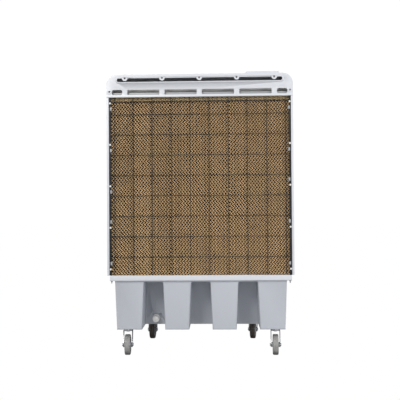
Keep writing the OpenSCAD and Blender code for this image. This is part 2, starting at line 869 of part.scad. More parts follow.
module spray_pipe() {
  pipe_half = half_w - cap_wall;
  color([0.85, 0.86, 0.88]) translate([0, pipe_y, pipe_z]) difference() {
    rod_x(pipe_d / 2, -pipe_half, pipe_half);
    rod_x(pipe_d / 2 - pipe_wall, -pipe_half + pipe_wall, pipe_half - pipe_wall);
    for (k = [0:spray_holes - 1])
      translate([(k - (spray_holes - 1) / 2) * (2 * pipe_half - 80) / (spray_holes - 1), 0, -pipe_d])
        cylinder(r = spray_hole_r, h = pipe_d);
    translate([pump_x, 0, 0]) rod_y(pipe_d / 2 - pipe_wall, 0, pipe_d);
  }
}

// ---------- pump and float ----------

module pump() {
  color([0.15, 0.16, 0.18]) translate([pump_x, pump_y, tank_floor]) {
    difference() {
      cylinder(r = pump_r, h = pump_h);
      for (a = [0:30:330]) rotate([0, 0, a]) translate([pump_r - 4, -3, 8]) cube([8, 6, 26]);
    }
    translate([0, 0, pump_h]) difference() {
      cylinder(r = pipe_d / 2 - pipe_wall, h = spigot_up);
      translate([0, 0, -1]) cylinder(r = pipe_d / 2 - pipe_wall - 2, h = spigot_up + 2);
    }
  }
}

module riser_line(r, grow) {
  foot = tank_floor + pump_h;
  translate([pump_x, pump_y, foot - grow]) cylinder(r = r, h = pipe_z - foot + grow);
  translate([pump_x, pump_y, pipe_z]) sphere(r);
  translate([pump_x, 0, pipe_z]) rod_y(r, pipe_y, pump_y);
}

module riser_hose() {
  color([0.20, 0.22, 0.24]) difference() {
    riser_line(pipe_d / 2, 0);
    riser_line(pipe_d / 2 - pipe_wall, 1);
    translate([0, pipe_y, pipe_z]) rod_x(pipe_d / 2, pump_x - pipe_d, pump_x + pipe_d);
  }
}

module float_valve() {
  color([0.80, 0.68, 0.35]) difference() {
    union() {
      translate([valve_x, 0, valve_z]) rod_y(valve_r, tank_y1 - tank_wall - valve_l, tank_y1 - tank_wall);
      translate([valve_x - lug_w / 2, lug_y - lug_r, lug_z])
        cube([lug_w, 2 * lug_r, valve_z - lug_z]);
      translate([valve_x, lug_y, lug_z]) rod_x(lug_r, -lug_w / 2, lug_w / 2);
    }
    translate([valve_x, 0, valve_z]) rod_y(inlet_bore_r, tank_y1 - tank_wall - valve_l + 6, tank_y1);
    translate([valve_x, lug_y, lug_z]) rod_x(float_pin_r + run_gap, -lug_w, lug_w);
  }
}

module float_arm() {
  side = lug_w / 2 + 0.5;
  arm_x = side + arm_r + 1;
  color([0.90, 0.45, 0.20]) translate([valve_x, lug_y, lug_z]) {
    rod_x(float_pin_r, -side - 2, arm_x);
    rod_x(lug_r - 3, side, arm_x + arm_r + 1);
    rod_x(lug_r - 3, -side - 2, -side);
    translate([arm_x, 0, 0]) rod_y(arm_r, -float_reach, 0);
    translate([arm_x, -float_reach, 0]) sphere(float_d / 2);
  }
}

module water_inlet() {
  color([0.80, 0.68, 0.35]) translate([valve_x, 0, valve_z]) difference() {
    union() {
      rod_y(inlet_flange_r, tank_y1, tank_y1 + inlet_flange_t);
      rod_y(inlet_d / 2, tank_y1, tank_y1 + inlet_flange_t + inlet_l);
    }
    rod_y(inlet_bore_r, tank_y1 - 1, tank_y1 + inlet_flange_t + inlet_l + 1);
  }
}

module cable_gland() {
  color([0.10, 0.10, 0.11]) translate([gland_x, 0, gland_z]) difference() {
    union() {
      rod_y(gland_r, face_y, face_y + gland_l);
      translate([0, face_y + gland_nut_t, 0]) rotate([90, 0, 0])
        cylinder(r = gland_nut_r, h = gland_nut_t, $fn = 6);
    }
    rod_y(gland_bore / 2, face_y - 1, face_y + gland_l + 1);
  }
}

// ---------- fan ----------

module at_fan() { translate([0, 0, outlet_z]) children(); }

module fan_shroud() {
  color([0.20, 0.21, 0.23]) at_fan() difference() {
    rod_y(shroud_r + shroud_t, shroud_y, plate_y);
    rod_y(shroud_r, shroud_y - 1, plate_y + 1);
  }
}

module motor_bracket() {
  color([0.25, 0.26, 0.28]) at_fan() difference() {
    union() {
      rod_y(motor_r + ring_t, shroud_y - ring_l, shroud_y);
      for (a = [45:90:315]) rotate([0, a, 0])
        translate([motor_r, shroud_y - arm_t, -arm_w / 2]) cube([shroud_r + shroud_t - 1 - motor_r, arm_t, arm_w]);
    }
    rod_y(motor_r, shroud_y - ring_l - 1, shroud_y + 1);
  }
}

module fan_motor() {
  color([0.35, 0.36, 0.38]) at_fan() difference() {
    rod_y(motor_r, shroud_y - motor_l, shroud_y);
    rod_y(shaft_r + run_gap, shroud_y - bearing_l, shroud_y + 1);
  }
}

module fan_shaft() {
  color([0.75, 0.76, 0.78]) at_fan() rod_y(shaft_r, shroud_y - bearing_l + 1, hub_y0 + hub_l2 - 6);
}

module fan_rotor() {
  color([0.12, 0.13, 0.14]) at_fan() difference() {
    union() {
      rod_y(hub_d / 2, hub_y0, hub_y0 + hub_l2);
      for (k = [0:blades - 1]) rotate([0, k * 360 / blades, 0]) intersection() {
        translate([0, hub_mid, 0]) rotate([0, 0, blade_pitch])
          translate([-blade_w / 2, -blade_t / 2, hub_d / 2 - 8]) cube([blade_w, blade_t, fan_r]);
        rod_y(fan_r, shroud_y, plate_y);
      }
    }
    rod_y(shaft_r, hub_y0 - 1, hub_y0 + hub_l2 - 6);
  }
}

// ---------- outlet ----------

function louvre_z(k) = outlet_z + (k - (louvres - 1) / 2) * louvre_pitch;
function deflector_x(k) = (k - (deflectors - 1) / 2) * deflector_pitch;

module outlet_frame() {
  reach = outlet_in / 2 + vane_pin_l + 1;
  color([0.84, 0.86, 0.90]) difference() {
    translate([0, 0, outlet_z]) upright(face_y, front_y) difference() {
      round_rect(outlet_w, outlet_w, outlet_r);
      square(outlet_in, center = true);
    }
    for (k = [0:louvres - 1]) translate([0, louvre_y, louvre_z(k)])
      rod_x(vane_pin_r + run_gap, -reach, reach);
    for (k = [0:deflectors - 1]) translate([deflector_x(k), deflector_y, outlet_z - reach])
      cylinder(r = vane_pin_r + run_gap, h = 2 * reach);
  }
}

module louvre(k) {
  half = outlet_in / 2 - vane_gap;
  color([0.80, 0.82, 0.86]) translate([0, louvre_y, louvre_z(k)]) {
    rod_x(vane_pin_r, -half - vane_gap - vane_pin_l, half + vane_gap + vane_pin_l);
    translate([-half, -louvre_w / 2, -vane_t / 2]) cube([2 * half, louvre_w, vane_t]);
  }
}

module deflector(k) {
  half = outlet_in / 2 - vane_gap;
  color([0.20, 0.21, 0.23]) translate([deflector_x(k), deflector_y, outlet_z]) {
    translate([0, 0, -half - vane_gap - vane_pin_l]) cylinder(r = vane_pin_r, h = 2 * (half + vane_gap + vane_pin_l));
    translate([-vane_t / 2, -deflector_w / 2, -half]) cube([vane_t, deflector_w, 2 * half]);
  }
}

// ---------- controls ----------

module control_panel() {
  color([0.16, 0.17, 0.19]) difference() {
    translate([0, 0, control_z]) upright(face_y, control_y) round_rect(control_w, control_h, control_r);
    translate([display_x, 0, control_z]) upright(control_y - display_t, control_y + 1)
      round_rect(display_w, display_h, 5);
    translate([knob_x, 0, control_z]) rod_y(spindle_r + run_gap, control_y - spindle_l - 1, control_y + 1);
    for (x = button_x) translate([x, 0, control_z])
      rod_y(button_d / 2 + button_gap, control_y - button_h - button_travel, control_y + 1);
  }
}

module display_window() {
  color([0.05, 0.06, 0.08]) translate([display_x, 0, control_z])
    upright(control_y - display_t, control_y) round_rect(display_w, display_h, 5);
}

module speed_knob() {
  color([0.75, 0.76, 0.78]) translate([knob_x, 0, control_z]) {
    rod_y(spindle_r, control_y - spindle_l, control_y + knob_gap + 1);
    difference() {
      rod_y(knob_d / 2, control_y + knob_gap, control_y + knob_gap + knob_h);
      for (a = [15:30:345]) rotate([0, a, 0]) translate([knob_d / 2 + 1, 0, 0])
        rod_y(2.5, control_y + knob_gap + 4, control_y + knob_gap + knob_h + 1);
      translate([-1, control_y + knob_gap + knob_h - 1.5, knob_d / 6]) cube([2, 3, knob_d / 4]);
    }
  }
}

module button(x) {
  translate([x, 0, control_z]) rod_y(button_d / 2, control_y - button_h + hair, control_y + button_proud);
}

module power_button() { color([0.70, 0.15, 0.12]) button(button_x[0]); }
module swing_button() { color([0.85, 0.86, 0.88]) button(button_x[1]); }

tank_walls();
tank_grooves();
tank_floor_plate();
tank_bolts();
drain_collar();
drain_cap();
level_window();
fill_door();
castor_plates();
castor_fork(0);  // castor_fork_1
castor_fork(1);  // castor_fork_2
castor_fork(2);  // castor_fork_3
castor_fork(3);  // castor_fork_4
wheel_hub(0);  // wheel_hub_1
wheel_hub(1);  // wheel_hub_2
wheel_hub(2);  // wheel_hub_3
wheel_hub(3);  // wheel_hub_4
wheel_tyre(0);  // wheel_tyre_1
wheel_tyre(1);  // wheel_tyre_2
wheel_tyre(2);  // wheel_tyre_3
wheel_tyre(3);  // wheel_tyre_4
left_side_panel();
right_side_panel();
front_panel();
top_panel();
rear_cap();
cap_screws();
top_lid();
pad_net();
net_screws();
net_clips();
main_pad();
distributor_pad();
water_trough();
spray_pipe();
riser_hose();
pump();
float_valve();
float_arm();
water_inlet();
cable_gland();
fan_shroud();
motor_bracket();
fan_motor();
fan_shaft();
fan_rotor();
outlet_frame();
louvre(0);  // louvre_1
louvre(1);  // louvre_2
louvre(2);  // louvre_3
louvre(3);  // louvre_4
louvre(4);  // louvre_5
deflector(0);  // deflector_1
deflector(1);  // deflector_2
deflector(2);  // deflector_3
control_panel();
display_window();
speed_knob();
power_button();
swing_button();
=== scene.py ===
import json
import math

import bmesh
import bpy
from mathutils import Matrix, Vector


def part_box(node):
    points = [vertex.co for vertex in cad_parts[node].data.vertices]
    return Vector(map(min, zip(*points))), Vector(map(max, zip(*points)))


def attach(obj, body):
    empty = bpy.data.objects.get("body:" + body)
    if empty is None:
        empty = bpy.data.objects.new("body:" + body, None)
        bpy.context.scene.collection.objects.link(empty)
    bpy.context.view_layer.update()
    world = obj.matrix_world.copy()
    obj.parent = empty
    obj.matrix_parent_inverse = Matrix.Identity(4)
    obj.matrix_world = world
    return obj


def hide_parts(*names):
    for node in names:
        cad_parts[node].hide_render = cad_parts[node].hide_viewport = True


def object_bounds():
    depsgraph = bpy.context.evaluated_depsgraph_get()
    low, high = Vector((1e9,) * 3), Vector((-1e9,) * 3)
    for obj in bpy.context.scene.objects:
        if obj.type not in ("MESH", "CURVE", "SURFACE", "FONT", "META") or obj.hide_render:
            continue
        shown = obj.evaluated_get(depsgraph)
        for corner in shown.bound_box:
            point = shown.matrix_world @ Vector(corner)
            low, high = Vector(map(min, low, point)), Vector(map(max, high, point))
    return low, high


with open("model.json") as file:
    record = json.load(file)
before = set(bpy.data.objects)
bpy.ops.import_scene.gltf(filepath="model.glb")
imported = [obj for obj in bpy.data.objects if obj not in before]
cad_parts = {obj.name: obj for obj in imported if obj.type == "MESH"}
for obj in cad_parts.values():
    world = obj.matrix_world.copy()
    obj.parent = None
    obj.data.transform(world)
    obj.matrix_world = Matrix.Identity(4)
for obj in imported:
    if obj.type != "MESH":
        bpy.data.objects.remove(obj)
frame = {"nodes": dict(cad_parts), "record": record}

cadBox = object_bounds()
nodes = frame["nodes"]
bodyOf = {}
for bodyName, members in frame["record"]["behaviour"]["bodies"].items():
    for member in members:
        bodyOf[member] = bodyName
print("frame loaded:", len(nodes), "nodes")


# camera and light

cameraSetup = {
    "place": (0.0888, -3.2572, 0.720),
    "lens": 55.36,
    "turn": 1.72,
    "tilt": 0.78,
    "roll": -0.40,
}
cameraData = bpy.data.cameras.new("camera")
cameraData.lens = cameraSetup["lens"]
cameraData.clip_end = 100
camera = bpy.data.objects.new("camera", cameraData)
bpy.context.scene.collection.objects.link(camera)
camera.matrix_world = (
    Matrix.Translation(cameraSetup["place"])
    @ Matrix.Rotation(math.radians(cameraSetup["turn"]), 4, "Z")
    @ Matrix.Rotation(math.radians(90 + cameraSetup["tilt"]), 4, "X")
    @ Matrix.Rotation(math.radians(cameraSetup["roll"]), 4, "Z")
)
bpy.context.scene.camera = camera


def areaLight(name, place, aim, size, power, tint=(1, 1, 1)):
    data = bpy.data.lights.new(name, "AREA")
    data.shape = "RECTANGLE"
    data.size, data.size_y = size
    data.energy = power
    data.color = tint
    light = bpy.data.objects.new(name, data)
    bpy.context.scene.collection.objects.link(light)
    light.location = place
    light.rotation_euler = (Vector(aim) - Vector(place)).to_track_quat("-Z", "Y").to_euler()
    return light


studio = {
    "background": (1.0, 1.0, 1.0),
    "backgroundSeen": 1.02,
    "backgroundLight": 0.50,
    "floor": (0.42, 0.42, 0.42),
    "floorPale": (0.46, 0.46, 0.46),
    "floorSize": 30.0,
    "floorDrop": 0.0005,
}
areaLight("keyLight", (-1.8, -3.4, 3.2), (0, 0, 0.8), (1.6, 1.4), 92, (1.0, 0.985, 0.955))
areaLight("fillLight", (2.6, -3.0, 1.4), (0, 0, 0.7), (1.6, 1.6), 46, (0.98, 0.985, 1.0))
areaLight("frontLight", (0.2, -4.2, 0.35), (0, 0, 0.35), (0.8, 0.5), 4)
areaLight("backLight", (1.5, 3.6, 2.8), (0, 0, 0.8), (2.6, 2.0), 60)

world = bpy.data.worlds.new("studio")
bpy.context.scene.world = world
world.use_nodes = True
world.node_tree.nodes.clear()
seenRay = world.node_tree.nodes.new("ShaderNodeLightPath")
seenSky = world.node_tree.nodes.new("ShaderNodeBackground")
litSky = world.node_tree.nodes.new("ShaderNodeBackground")
skyMix = world.node_tree.nodes.new("ShaderNodeMixShader")
skyOut = world.node_tree.nodes.new("ShaderNodeOutputWorld")
seenSky.inputs["Color"].default_value = (*studio["background"], 1)
seenSky.inputs["Strength"].default_value = studio["backgroundSeen"]
litSky.inputs["Color"].default_value = (*studio["background"], 1)
litSky.inputs["Strength"].default_value = studio["backgroundLight"]
world.node_tree.links.new(seenRay.outputs["Is Camera Ray"], skyMix.inputs["Fac"])
world.node_tree.links.new(litSky.outputs[0], skyMix.inputs[1])
world.node_tree.links.new(seenSky.outputs[0], skyMix.inputs[2])
world.node_tree.links.new(skyMix.outputs[0], skyOut.inputs["Surface"])

view = bpy.context.scene.view_settings
view.view_transform = "Standard"
view.look = "None"
print("camera and lights ready")


# shader groups

def addNode(tree, kind, settings=None, values=None):
    node = tree.nodes.new(kind)
    for key, value in (settings or {}).items():
        setattr(node, key, value)
    for key, value in (values or {}).items():
        if isinstance(value, bpy.types.NodeSocket):
            tree.links.new(value, node.inputs[key])
        else:
            node.inputs[key].default_value = value
    return node


def newGroup(name, inputs, outputs):
    group = bpy.data.node_groups.new(name, "ShaderNodeTree")
    for label, kind, value in inputs:
        socket = group.interface.new_socket(label, in_out="INPUT", socket_type=kind)
        socket.default_value = value
    for label, kind in outputs:
        group.interface.new_socket(label, in_out="OUTPUT", socket_type=kind)
    return group, group.nodes.new("NodeGroupInput"), group.nodes.new("NodeGroupOutput")


def mathNode(tree, operation, a, b=None, clamp=False):
    node = addNode(tree, "ShaderNodeMath", {"operation": operation, "use_clamp": clamp}, {0: a})
    if isinstance(b, bpy.types.NodeSocket):
        tree.links.new(b, node.inputs[1])
    elif b is not None:
        node.inputs[1].default_value = b
    return node.outputs[0]


def mixColour(tree, factor, a, b):
    node = addNode(tree, "ShaderNodeMix", {"data_type": "RGBA"})
    for index, value in ((0, factor), (6, a), (7, b)):
        if isinstance(value, bpy.types.NodeSocket):
            tree.links.new(value, node.inputs[index])
        else:
            node.inputs[index].default_value = value if index == 0 else (*value[:3], 1)
    return node.outputs[2]


def makeMouldedGroup():
    # moulded plastic: cloudy colour, pitted skin, pale dust on faces that look up and near the floor
    group, start, end = newGroup("mouldedSurface", [
        ("Colour", "NodeSocketColor", (0.7, 0.7, 0.7, 1)),
        ("Mottle", "NodeSocketFloat", 0.04),
        ("Roughness", "NodeSocketFloat", 0.4),
        ("Grain Scale", "NodeSocketFloat", 900.0),
        ("Dust", "NodeSocketFloat", 0.3),
        ("Grime Height", "NodeSocketFloat", 0.45),
    ], [("Colour", "NodeSocketColor"), ("Roughness", "NodeSocketFloat"), ("Height", "NodeSocketFloat")])
    place = addNode(group, "ShaderNodeTexCoord").outputs["Object"]
    cloud = addNode(group, "ShaderNodeTexNoise", values={"Vector": place, "Scale": 3.5, "Detail": 5.0})
    shift = mathNode(group, "SUBTRACT", cloud.outputs["Fac"], 0.5)
    shift = mathNode(group, "MULTIPLY", shift, start.outputs["Mottle"])
    shift = mathNode(group, "ADD", mathNode(group, "MULTIPLY", shift, 2.0), 1.0)
    toned = addNode(group, "ShaderNodeHueSaturation",
                    values={"Color": start.outputs["Colour"], "Value": shift})
    # streaks run down the walls
    stretched = addNode(group, "ShaderNodeMapping", values={"Vector": place, "Scale": (1, 1, 0.06)})
    streak = addNode(group, "ShaderNodeTexNoise",
                     values={"Vector": stretched.outputs[0], "Scale": 34.0, "Detail": 4.0, "Roughness": 0.65})
    streakMask = addNode(group, "ShaderNodeMapRange", values={
        "Value": streak.outputs["Fac"], "From Min": 0.56, "From Max": 0.78, "To Max": 0.5})
    parts = addNode(group, "ShaderNodeSeparateXYZ", values={"Vector": place})
    low = addNode(group, "ShaderNodeMapRange", values={
        "Value": parts.outputs["Z"], "From Min": start.outputs["Grime Height"], "From Max": 0.0,
        "To Max": 1.0})
    facing = addNode(group, "ShaderNodeNewGeometry")
    upward = addNode(group, "ShaderNodeSeparateXYZ", values={"Vector": facing.outputs["Normal"]})
    lying = addNode(group, "ShaderNodeMapRange", values={
        "Value": upward.outputs["Z"], "From Min": 0.35, "From Max": 0.95, "To Max": 0.8})
    speck = addNode(group, "ShaderNodeTexNoise", values={"Vector": place, "Scale": 60.0, "Detail": 6.0})
    speckMask = addNode(group, "ShaderNodeMapRange", values={
        "Value": speck.outputs["Fac"], "From Min": 0.42, "From Max": 0.72})
    grime = mathNode(group, "MULTIPLY", low.outputs[0], streakMask.outputs[0])
    grime = mathNode(group, "ADD", grime, mathNode(group, "MULTIPLY", lying.outputs[0], speckMask.outputs[0]))
    grime = mathNode(group, "MULTIPLY", grime, start.outputs["Dust"], clamp=True)
    dusty = mixColour(group, grime, toned.outputs[0], (0.46, 0.43, 0.37))
    group.links.new(dusty, end.inputs["Colour"])
    polish = mathNode(group, "MULTIPLY", mathNode(group, "SUBTRACT", cloud.outputs["Fac"], 0.5), 0.16)
    rough = mathNode(group, "ADD", start.outputs["Roughness"], polish)
    rough = mathNode(group, "ADD", rough, mathNode(group, "MULTIPLY", grime, 0.5), clamp=True)
    group.links.new(rough, end.inputs["Roughness"])
    grain = addNode(group, "ShaderNodeTexNoise",
                    values={"Vector": place, "Scale": start.outputs["Grain Scale"], "Detail": 3.0})
    wave = addNode(group, "ShaderNodeTexNoise", values={"Vector": place, "Scale": 9.0, "Detail": 2.0})
    height = mathNode(group, "ADD", grain.outputs["Fac"],
                      mathNode(group, "MULTIPLY", wave.outputs["Fac"], 3.0))
    group.links.new(height, end.inputs["Height"])
    return group


def makeMetalGroup():
    # plated or painted metal: fine drawn lines, blotches and spots of rust
    group, start, end = newGroup("metalSurface", [
        ("Colour", "NodeSocketColor", (0.7, 0.7, 0.7, 1)),
        ("Roughness", "NodeSocketFloat", 0.3),
        ("Spots", "NodeSocketFloat", 0.3),
        ("Spot Colour", "NodeSocketColor", (0.25, 0.13, 0.07, 1)),
    ], [("Colour", "NodeSocketColor"), ("Roughness", "NodeSocketFloat"), ("Height", "NodeSocketFloat"),
        ("Metal", "NodeSocketFloat")])
    place = addNode(group, "ShaderNodeTexCoord").outputs["Object"]
    blotch = addNode(group, "ShaderNodeTexNoise", values={"Vector": place, "Scale": 45.0, "Detail": 6.0})
    drawn = addNode(group, "ShaderNodeMapping", values={"Vector": place, "Scale": (60, 60, 900)})
    lines = addNode(group, "ShaderNodeTexNoise",
                    values={"Vector": drawn.outputs[0], "Scale": 4.0, "Detail": 2.0})
    spotNoise = addNode(group, "ShaderNodeTexNoise",
                        values={"Vector": place, "Scale": 120.0, "Detail": 8.0, "Roughness": 0.7})
    spots = addNode(group, "ShaderNodeMapRange", values={
        "Value": spotNoise.outputs["Fac"], "From Min": 0.60, "From Max": 0.74})
    spotMask = mathNode(group, "MULTIPLY", spots.outputs[0], start.outputs["Spots"], clamp=True)
    value = mathNode(group, "ADD", mathNode(group, "MULTIPLY", blotch.outputs["Fac"], 0.3), 0.85)
    toned = addNode(group, "ShaderNodeHueSaturation",
                    values={"Color": start.outputs["Colour"], "Value": value})
    group.links.new(mixColour(group, spotMask, toned.outputs[0], start.outputs["Spot Colour"]),
                    end.inputs["Colour"])
    rough = mathNode(group, "ADD", start.outputs["Roughness"],
                     mathNode(group, "MULTIPLY", mathNode(group, "SUBTRACT", blotch.outputs["Fac"], 0.5),
                              0.4))
    rough = mathNode(group, "ADD", rough, mathNode(group, "MULTIPLY", spotMask, 0.5), clamp=True)
    group.links.new(rough, end.inputs["Roughness"])
    group.links.new(mathNode(group, "ADD", lines.outputs["Fac"], spotMask), end.inputs["Height"])
    group.links.new(mathNode(group, "SUBTRACT", 1.0, spotMask), end.inputs["Metal"])
    return group


mouldedGroup = makeMouldedGroup()
metalGroup = makeMetalGroup()


def newMaterial(name):
    material = bpy.data.materials.new(name)
    material.use_nodes = True
    tree = material.node_tree
    shader = tree.nodes["Principled BSDF"]
    return material, tree, shader


def bumpFrom(tree, shader, height, distance):
    bump = addNode(tree, "ShaderNodeBump", values={"Height": height})
    bump.inputs["Distance"].default_value = distance
    bump.inputs["Strength"].default_value = 0.5
    tree.links.new(bump.outputs[0], shader.inputs["Normal"])


def plastic(name, colour, roughness, mottle, grain, dust, bump):
    material, tree, shader = newMaterial(name)
    group = addNode(tree, "ShaderNodeGroup", {"node_tree": mouldedGroup}, {
        "Colour": (*colour, 1), "Mottle": mottle, "Roughness": roughness, "Grain Scale": grain, "Dust": dust})
    tree.links.new(group.outputs["Colour"], shader.inputs["Base Color"])
    tree.links.new(group.outputs["Roughness"], shader.inputs["Roughness"])
    bumpFrom(tree, shader, group.outputs["Height"], bump)
    return material


def metal(name, colour, roughness=0.3, spots=0.3, spotColour=(0.25, 0.13, 0.07), bump=0.00005):
    material, tree, shader = newMaterial(name)
    group = addNode(tree, "ShaderNodeGroup", {"node_tree": metalGroup}, {
        "Colour": (*colour, 1), "Roughness": roughness, "Spots": spots, "Spot Colour": (*spotColour, 1)})
    tree.links.new(group.outputs["Colour"], shader.inputs["Base Color"])
    tree.links.new(group.outputs["Roughness"], shader.inputs["Roughness"])
    tree.links.new(group.outputs["Metal"], shader.inputs["Metallic"])
    bumpFrom(tree, shader, group.outputs["Height"], bump)
    return material


def paper(name, tip, deepShade, frontY, depth):
    # kraft paper: pale cut edges as a painted highlight, darker further in as painted shade, a tone of its
    # own for each sheet
    material, tree, shader = newMaterial(name)
    place = addNode(tree, "ShaderNodeTexCoord").outputs["Object"]
    parts = addNode(tree, "ShaderNodeSeparateXYZ", values={"Vector": place})
    # painted shade: the colour runs from the tip colour to the near-black deep colour within a few
    # millimetres of the front, standing in for the shade deep in the flutes
    inwardShade = addNode(tree, "ShaderNodeMapRange", {"interpolation_type": "SMOOTHSTEP"}, {
        "Value": parts.outputs["Y"], "From Min": frontY, "From Max": frontY + depth})
    # painted highlight: the first 0.5 to 2.5 mm behind the front of each sheet is brightened by up to a
    # quarter
    edge = addNode(tree, "ShaderNodeMapRange", values={
        "Value": parts.outputs["Y"], "From Min": frontY + 0.0005, "From Max": frontY + 0.0025,
        "To Min": 1.25, "To Max": 1.0})
    sheet = addNode(tree, "ShaderNodeAttribute", {"attribute_name": "sheetTone"})
    fibre = addNode(tree, "ShaderNodeTexNoise", values={"Vector": place, "Scale": 420.0, "Detail": 4.0})
    patch = addNode(tree, "ShaderNodeTexNoise", values={"Vector": place, "Scale": 5.0, "Detail": 4.0})
    colour = mixColour(tree, inwardShade.outputs[0], tip, deepShade)
    value = mathNode(tree, "ADD", mathNode(tree, "MULTIPLY", sheet.outputs["Fac"], 0.22), 0.62)
    value = mathNode(tree, "ADD", value, mathNode(tree, "MULTIPLY", fibre.outputs["Fac"], 0.28))
    value = mathNode(tree, "ADD", value, mathNode(tree, "MULTIPLY", patch.outputs["Fac"], 0.25))
    value = mathNode(tree, "MULTIPLY", value, edge.outputs[0])
    # painted light from above: faces that look down are darkened and faces that look up are brightened
    facing = addNode(tree, "ShaderNodeSeparateXYZ", values={
        "Vector": addNode(tree, "ShaderNodeNewGeometry").outputs["True Normal"]})
    litFromAbove = addNode(tree, "ShaderNodeMapRange", values={
        "Value": facing.outputs["Z"], "From Min": -0.4, "From Max": 0.4, "To Min": 0.12, "To Max": 1.35})
    value = mathNode(tree, "MULTIPLY", value, litFromAbove.outputs[0])
    toned = addNode(tree, "ShaderNodeHueSaturation", values={"Color": colour, "Value": value})
    tree.links.new(toned.outputs[0], shader.inputs["Base Color"])
    shader.inputs["Roughness"].default_value = 0.82
    shader.inputs["Specular IOR Level"].default_value = 0.25
    bumpFrom(tree, shader, fibre.outputs["Fac"], 0.0003)
    return material


def tread(name, colour, roughness):
    # castor tread: scuffed rubber with blotches of dirt, darker towards the floor
    material, tree, shader = newMaterial(name)
    place = addNode(tree, "ShaderNodeTexCoord").outputs["Object"]
    scuff = addNode(tree, "ShaderNodeTexNoise",
                    values={"Vector": place, "Scale": 70.0, "Detail": 7.0, "Roughness": 0.7})
    dirt = addNode(tree, "ShaderNodeMapRange",
                   values={"Value": scuff.outputs["Fac"], "From Min": 0.45, "From Max": 0.7})
    parts = addNode(tree, "ShaderNodeSeparateXYZ", values={"Vector": place})
    # darker towards the floor over the lowest 3 cm
    low = addNode(tree, "ShaderNodeMapRange", values={
        "Value": parts.outputs["Z"], "From Min": 0.03, "From Max": 0.0, "To Max": 0.85})
    mask = mathNode(tree, "ADD", mathNode(tree, "MULTIPLY", dirt.outputs[0], 0.35), low.outputs[0],
                    clamp=True)
    tree.links.new(mixColour(tree, mask, colour, (0.045, 0.036, 0.03)), shader.inputs["Base Color"])
    rough = mathNode(tree, "ADD", mathNode(tree, "MULTIPLY", mask, 0.45), roughness)
    tree.links.new(rough, shader.inputs["Roughness"])
    bumpFrom(tree, shader, scuff.outputs["Fac"], 0.0002)
    return material


def clearPlastic(name, colour):
    material, tree, shader = newMaterial(name)
    place = addNode(tree, "ShaderNodeTexCoord").outputs["Object"]
    haze = addNode(tree, "ShaderNodeTexNoise", values={"Vector": place, "Scale": 90.0, "Detail": 5.0})
    tree.links.new(mathNode(tree, "MULTIPLY", haze.outputs["Fac"], 0.3), shader.inputs["Roughness"])
    shader.inputs["Base Color"].default_value = (*colour, 1)
    shader.inputs["Transmission Weight"].default_value = 0.85
    shader.inputs["IOR"].default_value = 1.49
    return material


def darkGlass(name, colour):
    # display cover: near black with faint smears
    material, tree, shader = newMaterial(name)
    place = addNode(tree, "ShaderNodeTexCoord").outputs["Object"]
    smear = addNode(tree, "ShaderNodeTexNoise",
                    values={"Vector": place, "Scale": 40.0, "Detail": 6.0, "Distortion": 1.5})
    tree.links.new(mixColour(tree, smear.outputs["Fac"], colour, (0.05, 0.055, 0.065)),
                   shader.inputs["Base Color"])
    rough = mathNode(tree, "ADD", mathNode(tree, "MULTIPLY", smear.outputs["Fac"], 0.18), 0.03)
    tree.links.new(rough, shader.inputs["Roughness"])
    shader.inputs["Coat Weight"].default_value = 0.6
    shader.inputs["Coat Roughness"].default_value = 0.05
    return material


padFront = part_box("main_pad")[0].y
finishes = {
    "tank_plastic": plastic("tankPlastic", (0.52, 0.545, 0.60), 0.42, 0.035, 700.0, 0.55, 0.00022),
    "shell_plastic": plastic("shellPlastic", (0.67, 0.69, 0.735), 0.36, 0.03, 900.0, 0.35, 0.00012),
    "white_plastic": plastic("whitePlastic", (0.86, 0.86, 0.84), 0.28, 0.03, 1200.0, 0.3, 0.00008),
    "grey_plastic": plastic("greyPlastic", (0.36, 0.37, 0.385), 0.42, 0.05, 1100.0, 0.4, 0.0001),
    "black_plastic": plastic("blackPlastic", (0.028, 0.028, 0.031), 0.45, 0.1, 1100.0, 0.3, 0.00012),
    "red_plastic": plastic("redPlastic", (0.42, 0.03, 0.02), 0.25, 0.03, 1300.0, 0.1, 0.00005),
    "orange_plastic": plastic("orangePlastic", (0.70, 0.17, 0.03), 0.3, 0.04, 900.0, 0.2, 0.0001),
    "black_rubber": plastic("blackRubber", (0.03, 0.03, 0.033), 0.6, 0.15, 500.0, 0.4, 0.0002),
    "black_wire": plastic("blackWire", (0.007, 0.007, 0.008), 0.6, 0.1, 1600.0, 0.25, 0.00005),
    "clear_plastic": clearPlastic("clearPlastic", (0.80, 0.88, 0.92)),
    "display": darkGlass("displayGlass", (0.01, 0.012, 0.016)),
    "tyre_rubber": tread("treadRubber", (0.34, 0.34, 0.335), 0.28),
    "zinc": metal("zincPlate", (0.50, 0.51, 0.535), 0.2, 0.25),
    "dark_steel": metal("darkSteel", (0.16, 0.16, 0.17), 0.4, 0.4),
    "black_steel": metal("blackSteel", (0.035, 0.035, 0.037), 0.45, 0.2),
    "motor_paint": metal("motorPaint", (0.09, 0.095, 0.105), 0.5, 0.2, bump=0.0001),
    "brass": metal("brass", (0.62, 0.44, 0.17), 0.28, 0.3, (0.10, 0.16, 0.12)),
    # both pad papers carry a painted highlight on the cut edges and painted shade further in
    "pad_paper": paper("padPaper", (1.0, 0.69, 0.38), (0.004, 0.0015, 0.0008), padFront + 0.0003, 0.0030),
    "pad_paper_new": paper("padPaperNew", (0.88, 0.66, 0.36), (0.05, 0.022, 0.008), padFront + 0.0006, 0.008),
}


